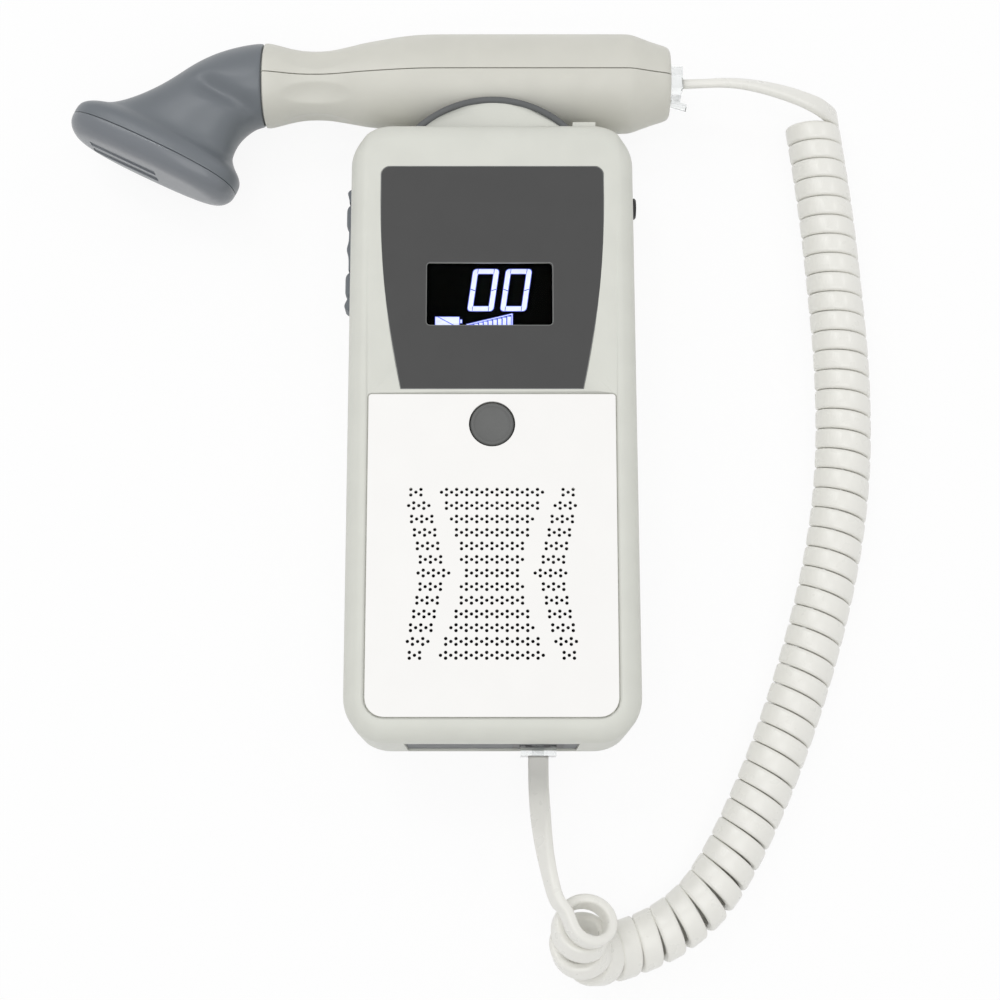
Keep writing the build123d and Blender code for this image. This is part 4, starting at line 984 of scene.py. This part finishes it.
ring_corners = 16
cage_gain = 1.026
head_sections = [
    ((-64.9, 94.6), (-64.9, 113.2), 9.3, 2.0), ((-65.4, 93.6), (-65.4, 114.2), 10.3, 2.0),
    ((-65.6, 92.25), (-65.6, 115.55), 11.65, 2.0), ((-66.1, 91.95), (-66.1, 115.8), 11.9, 2.0),
    ((-68.4, 91.2), (-70.3, 115.4), 11.9, 2.0), ((-71.4, 88.9), (-78.5, 113.5), 11.5, 2.0),
    ((-73.2, 86.0), (-86.2, 109.8), 10.8, 2.0), ((-74.1, 83.6), (-92.9, 104.6), 10.2, 2.05),
    ((-74.5, 81.9), (-101.7, 99.9), 9.8, 2.15), ((-74.4, 80.6), (-110.0, 97.2), 9.8, 2.3),
]
foot_middle = Vector((-98.95, 78.13, handle_z))
foot_along = Vector((0.899, -0.438, 0.0))
foot_inward = Vector((0.438, 0.899, 0.0))
foot_sections = [
    (11.3, 44.8, 20.6, 2.5), (10.0, 48.2, 22.6, 2.8), (8.8, 50.1, 23.9, 3.0), (7.4, 50.8, 24.5, 3.0),
    (5.9, 50.8, 24.5, 3.0), (5.35, 50.75, 24.45, 3.0), (5.28, 50.5, 24.2, 3.0), (5.3, 44.0, 18.0, 2.8),
]
cap_sections = [
    (5.2, 46.0, 20.0, 2.8), (5.22, 50.5, 24.2, 3.0), (5.15, 50.75, 24.45, 3.0), (4.7, 50.8, 24.5, 3.0),
    (3.4, 50.4, 24.1, 3.0), (2.1, 49.0, 22.8, 3.0), (1.0, 46.8, 20.8, 2.9), (0.3, 43.8, 18.0, 2.8),
    (0.02, 40.0, 14.6, 2.7), (0.0, 35.0, 11.0, 2.6), (0.0, 24.0, 5.0, 2.5),
]


def ring_place(heel, crown, half_depth):
    """The matrix that puts a unit circle on a section from heel to crown."""
    low, high = Vector((*heel, handle_z)), Vector((*crown, handle_z))
    across = (high - low) / 2
    place = Matrix((across, Vector((0, 0, half_depth)), Vector((0, 0, 1)))).transposed()
    place.col[2] = across.normalized().cross(Vector((0, 0, 1)))
    place = place.to_4x4()
    place.translation = (low + high) / 2
    return place


def foot_ring(distance, length, width):
    """The same for a ring of the foot, at a distance behind the face."""
    middle = foot_middle + foot_inward * distance
    low = middle + foot_along * length / 2
    high = middle - foot_along * length / 2
    return ring_place((low.x, low.y), (high.x, high.y), width / 2)


def ring_cage(rings):
    """Rings joined by extruding one to the next; a ring is a matrix and how boxy it is."""
    mesh = bmesh.new()
    base = bmesh.ops.create_circle(mesh, segments=ring_corners, radius=1.0)["verts"]
    flat = [corner.co.copy() for corner in base]
    rim, corners = mesh.edges[:], base
    for number, (place, boxy) in enumerate(rings):
        if number:
            rim, corners = grown(mesh, rim, Matrix.Identity(4))
        for corner, spot in zip(corners, flat):
            swell = (abs(spot.x) ** boxy + abs(spot.y) ** boxy) ** (-1 / boxy)
            corner.co = place @ (spot * swell * cage_gain)
    bmesh.ops.holes_fill(mesh, edges=mesh.edges)
    bmesh.ops.recalc_face_normals(mesh, faces=mesh.faces)
    return carved(mesh, "SUBSURF", levels=3, render_levels=3)


head_rings = [(ring_place(heel, crown, depth), boxy) for heel, crown, depth, boxy in head_sections]
head_rings += [(foot_ring(at, length, width), boxy) for at, length, width, boxy in foot_sections]
head_mesh = ring_cage(head_rings)
crease_start = Vector((-80.3, 99.9, 0))
crease_end = Vector((-70.0, 94.3, 0))
crease_reach = 2.6
crease_sink = 2.5
crease_end_reach = 4.0
crease_half_depth = 12.0
crease_run = (crease_end - crease_start).normalized()
crease_length = (crease_end - crease_start).length
for vertex in head_mesh.verts:
    offset = Vector((vertex.co.x, vertex.co.y, 0)) - crease_start
    along = offset.dot(crease_run)
    beyond = max(0.0, -along, along - crease_length)
    aside = offset.cross(crease_run).length
    fall = math.exp(-(aside / crease_reach) ** 2 - (beyond / crease_end_reach) ** 2)
    depth = (vertex.co.z - handle_z) / crease_half_depth
    vertex.co.z -= crease_sink * fall * max(-1.0, min(1.0, depth))
in_metres(head_mesh)
piece("head_shell", head_mesh, [blue_grey_head], "probe", stands_for=["probe_head"])

window_length = 20.8
window_width = 3.0
window_shift = -7.2
window_heights = (20.3, 15.6)
window_sink = 0.45
cap_mesh = ring_cage([(foot_ring(at, length, width), boxy) for at, length, width, boxy in cap_sections])
for height in window_heights:
    reach = Vector((window_length / 2, window_sink, window_width / 2))
    cutter = rounded_block(-reach, reach, 0.25, 2)
    turn = Matrix.Rotation(math.atan2(foot_along.y, foot_along.x), 4, "Z")
    middle = foot_middle + foot_along * window_shift
    middle.z = height
    bmesh.ops.transform(cutter, matrix=Matrix.Translation(middle) @ turn, verts=cutter.verts)
    cap_mesh = cut_away(cap_mesh, cutter)
in_metres(cap_mesh)
cap = piece("face_cap", cap_mesh, [grey_face], "probe", stands_for=["probe_face"])
cap.data.set_sharp_from_angle(angle=math.radians(35))


# Stage

floor_gap = 0.0002
floor_half = 1.5
floor_glow = 0.9
sky_strength = 0.68
floor_mesh = bmesh.new()
bmesh.ops.create_grid(floor_mesh, x_segments=1, y_segments=1, size=floor_half)
bmesh.ops.translate(floor_mesh, vec=(0, 0, -floor_gap), verts=floor_mesh.verts)
floor_data = bpy.data.meshes.new("floor")
floor_mesh.to_mesh(floor_data)
floor_mesh.free()
floor = bpy.data.objects.new("floor", floor_data)
bpy.context.scene.collection.objects.link(floor)
floor_white, tree, main = shader("floor_white")
main.inputs["Base Color"].default_value = (0.9, 0.9, 0.9, 1)
main.inputs["Roughness"].default_value = 0.8
glow = tree.nodes.new("ShaderNodeEmission")
glow.inputs["Color"].default_value = (1, 1, 1, 1)
rays = tree.nodes.new("ShaderNodeLightPath")
seen = rays.outputs["Is Camera Ray"]
for ray in ("Is Glossy Ray", "Is Transmission Ray"):
    either = tree.nodes.new("ShaderNodeMath")
    either.operation = "MAXIMUM"
    tree.links.new(seen, either.inputs[0])
    tree.links.new(rays.outputs[ray], either.inputs[1])
    seen = either.outputs[0]
share = tree.nodes.new("ShaderNodeMath")
share.operation = "MULTIPLY"
share.inputs[1].default_value = floor_glow
tree.links.new(seen, share.inputs[0])
mix = tree.nodes.new("ShaderNodeMixShader")
tree.links.new(share.outputs[0], mix.inputs["Fac"])
tree.links.new(main.outputs[0], mix.inputs[1])
tree.links.new(glow.outputs[0], mix.inputs[2])
# The floor is see-through from below, so that the unit's back can be looked at
side = tree.nodes.new("ShaderNodeNewGeometry")
from_below = tree.nodes.new("ShaderNodeMixShader")
tree.links.new(side.outputs["Backfacing"], from_below.inputs["Fac"])
tree.links.new(mix.outputs[0], from_below.inputs[1])
tree.links.new(tree.nodes.new("ShaderNodeBsdfTransparent").outputs[0], from_below.inputs[2])
tree.links.new(from_below.outputs[0], tree.nodes["Material Output"].inputs["Surface"])
floor_data.materials.append(floor_white)

world = bpy.data.worlds.new("studio")
world.use_nodes = True
bpy.context.scene.world = world
sky = world.node_tree.nodes["Background"]
sky.inputs["Color"].default_value = (1, 1, 1, 1)
sky.inputs["Strength"].default_value = sky_strength


def softbox(name, place, aim, size, power):
    """A square lamp that faces the point it's aimed at."""
    data = bpy.data.lights.new(name, "AREA")
    data.size = size
    data.energy = power
    lamp = bpy.data.objects.new(name, data)
    lamp.location = place
    lamp.rotation_euler = (Vector(aim) - Vector(place)).to_track_quat("-Z", "Y").to_euler()
    bpy.context.scene.collection.objects.link(lamp)


softbox("overhead_lamp", (0.0, -0.3, 1.25), (0, 0, 0), 0.9, 4.0)
softbox("shoulder_lamp", (-0.5, 0.5, 0.8), (0, 0, 0), 0.4, 1.0)
softbox("left_lamp", (-0.25, 0.37, 0.9), (0.02, 0, 0), 0.14, 0.5)
softbox("right_lamp", (0.64, 0.395, 0.9), (0.02, 0, 0), 0.14, 0.5)

camera_data = bpy.data.cameras.new("camera")
camera_data.lens = 67.92
camera_data.sensor_width = 36
camera = bpy.data.objects.new("camera", camera_data)
camera.location = (0.00212, -0.12138, 0.52796)
camera.rotation_euler = (math.radians(11.5), 0, 0)
bpy.context.scene.collection.objects.link(camera)
bpy.context.scene.camera = camera
bpy.context.scene.view_settings.view_transform = "Standard"
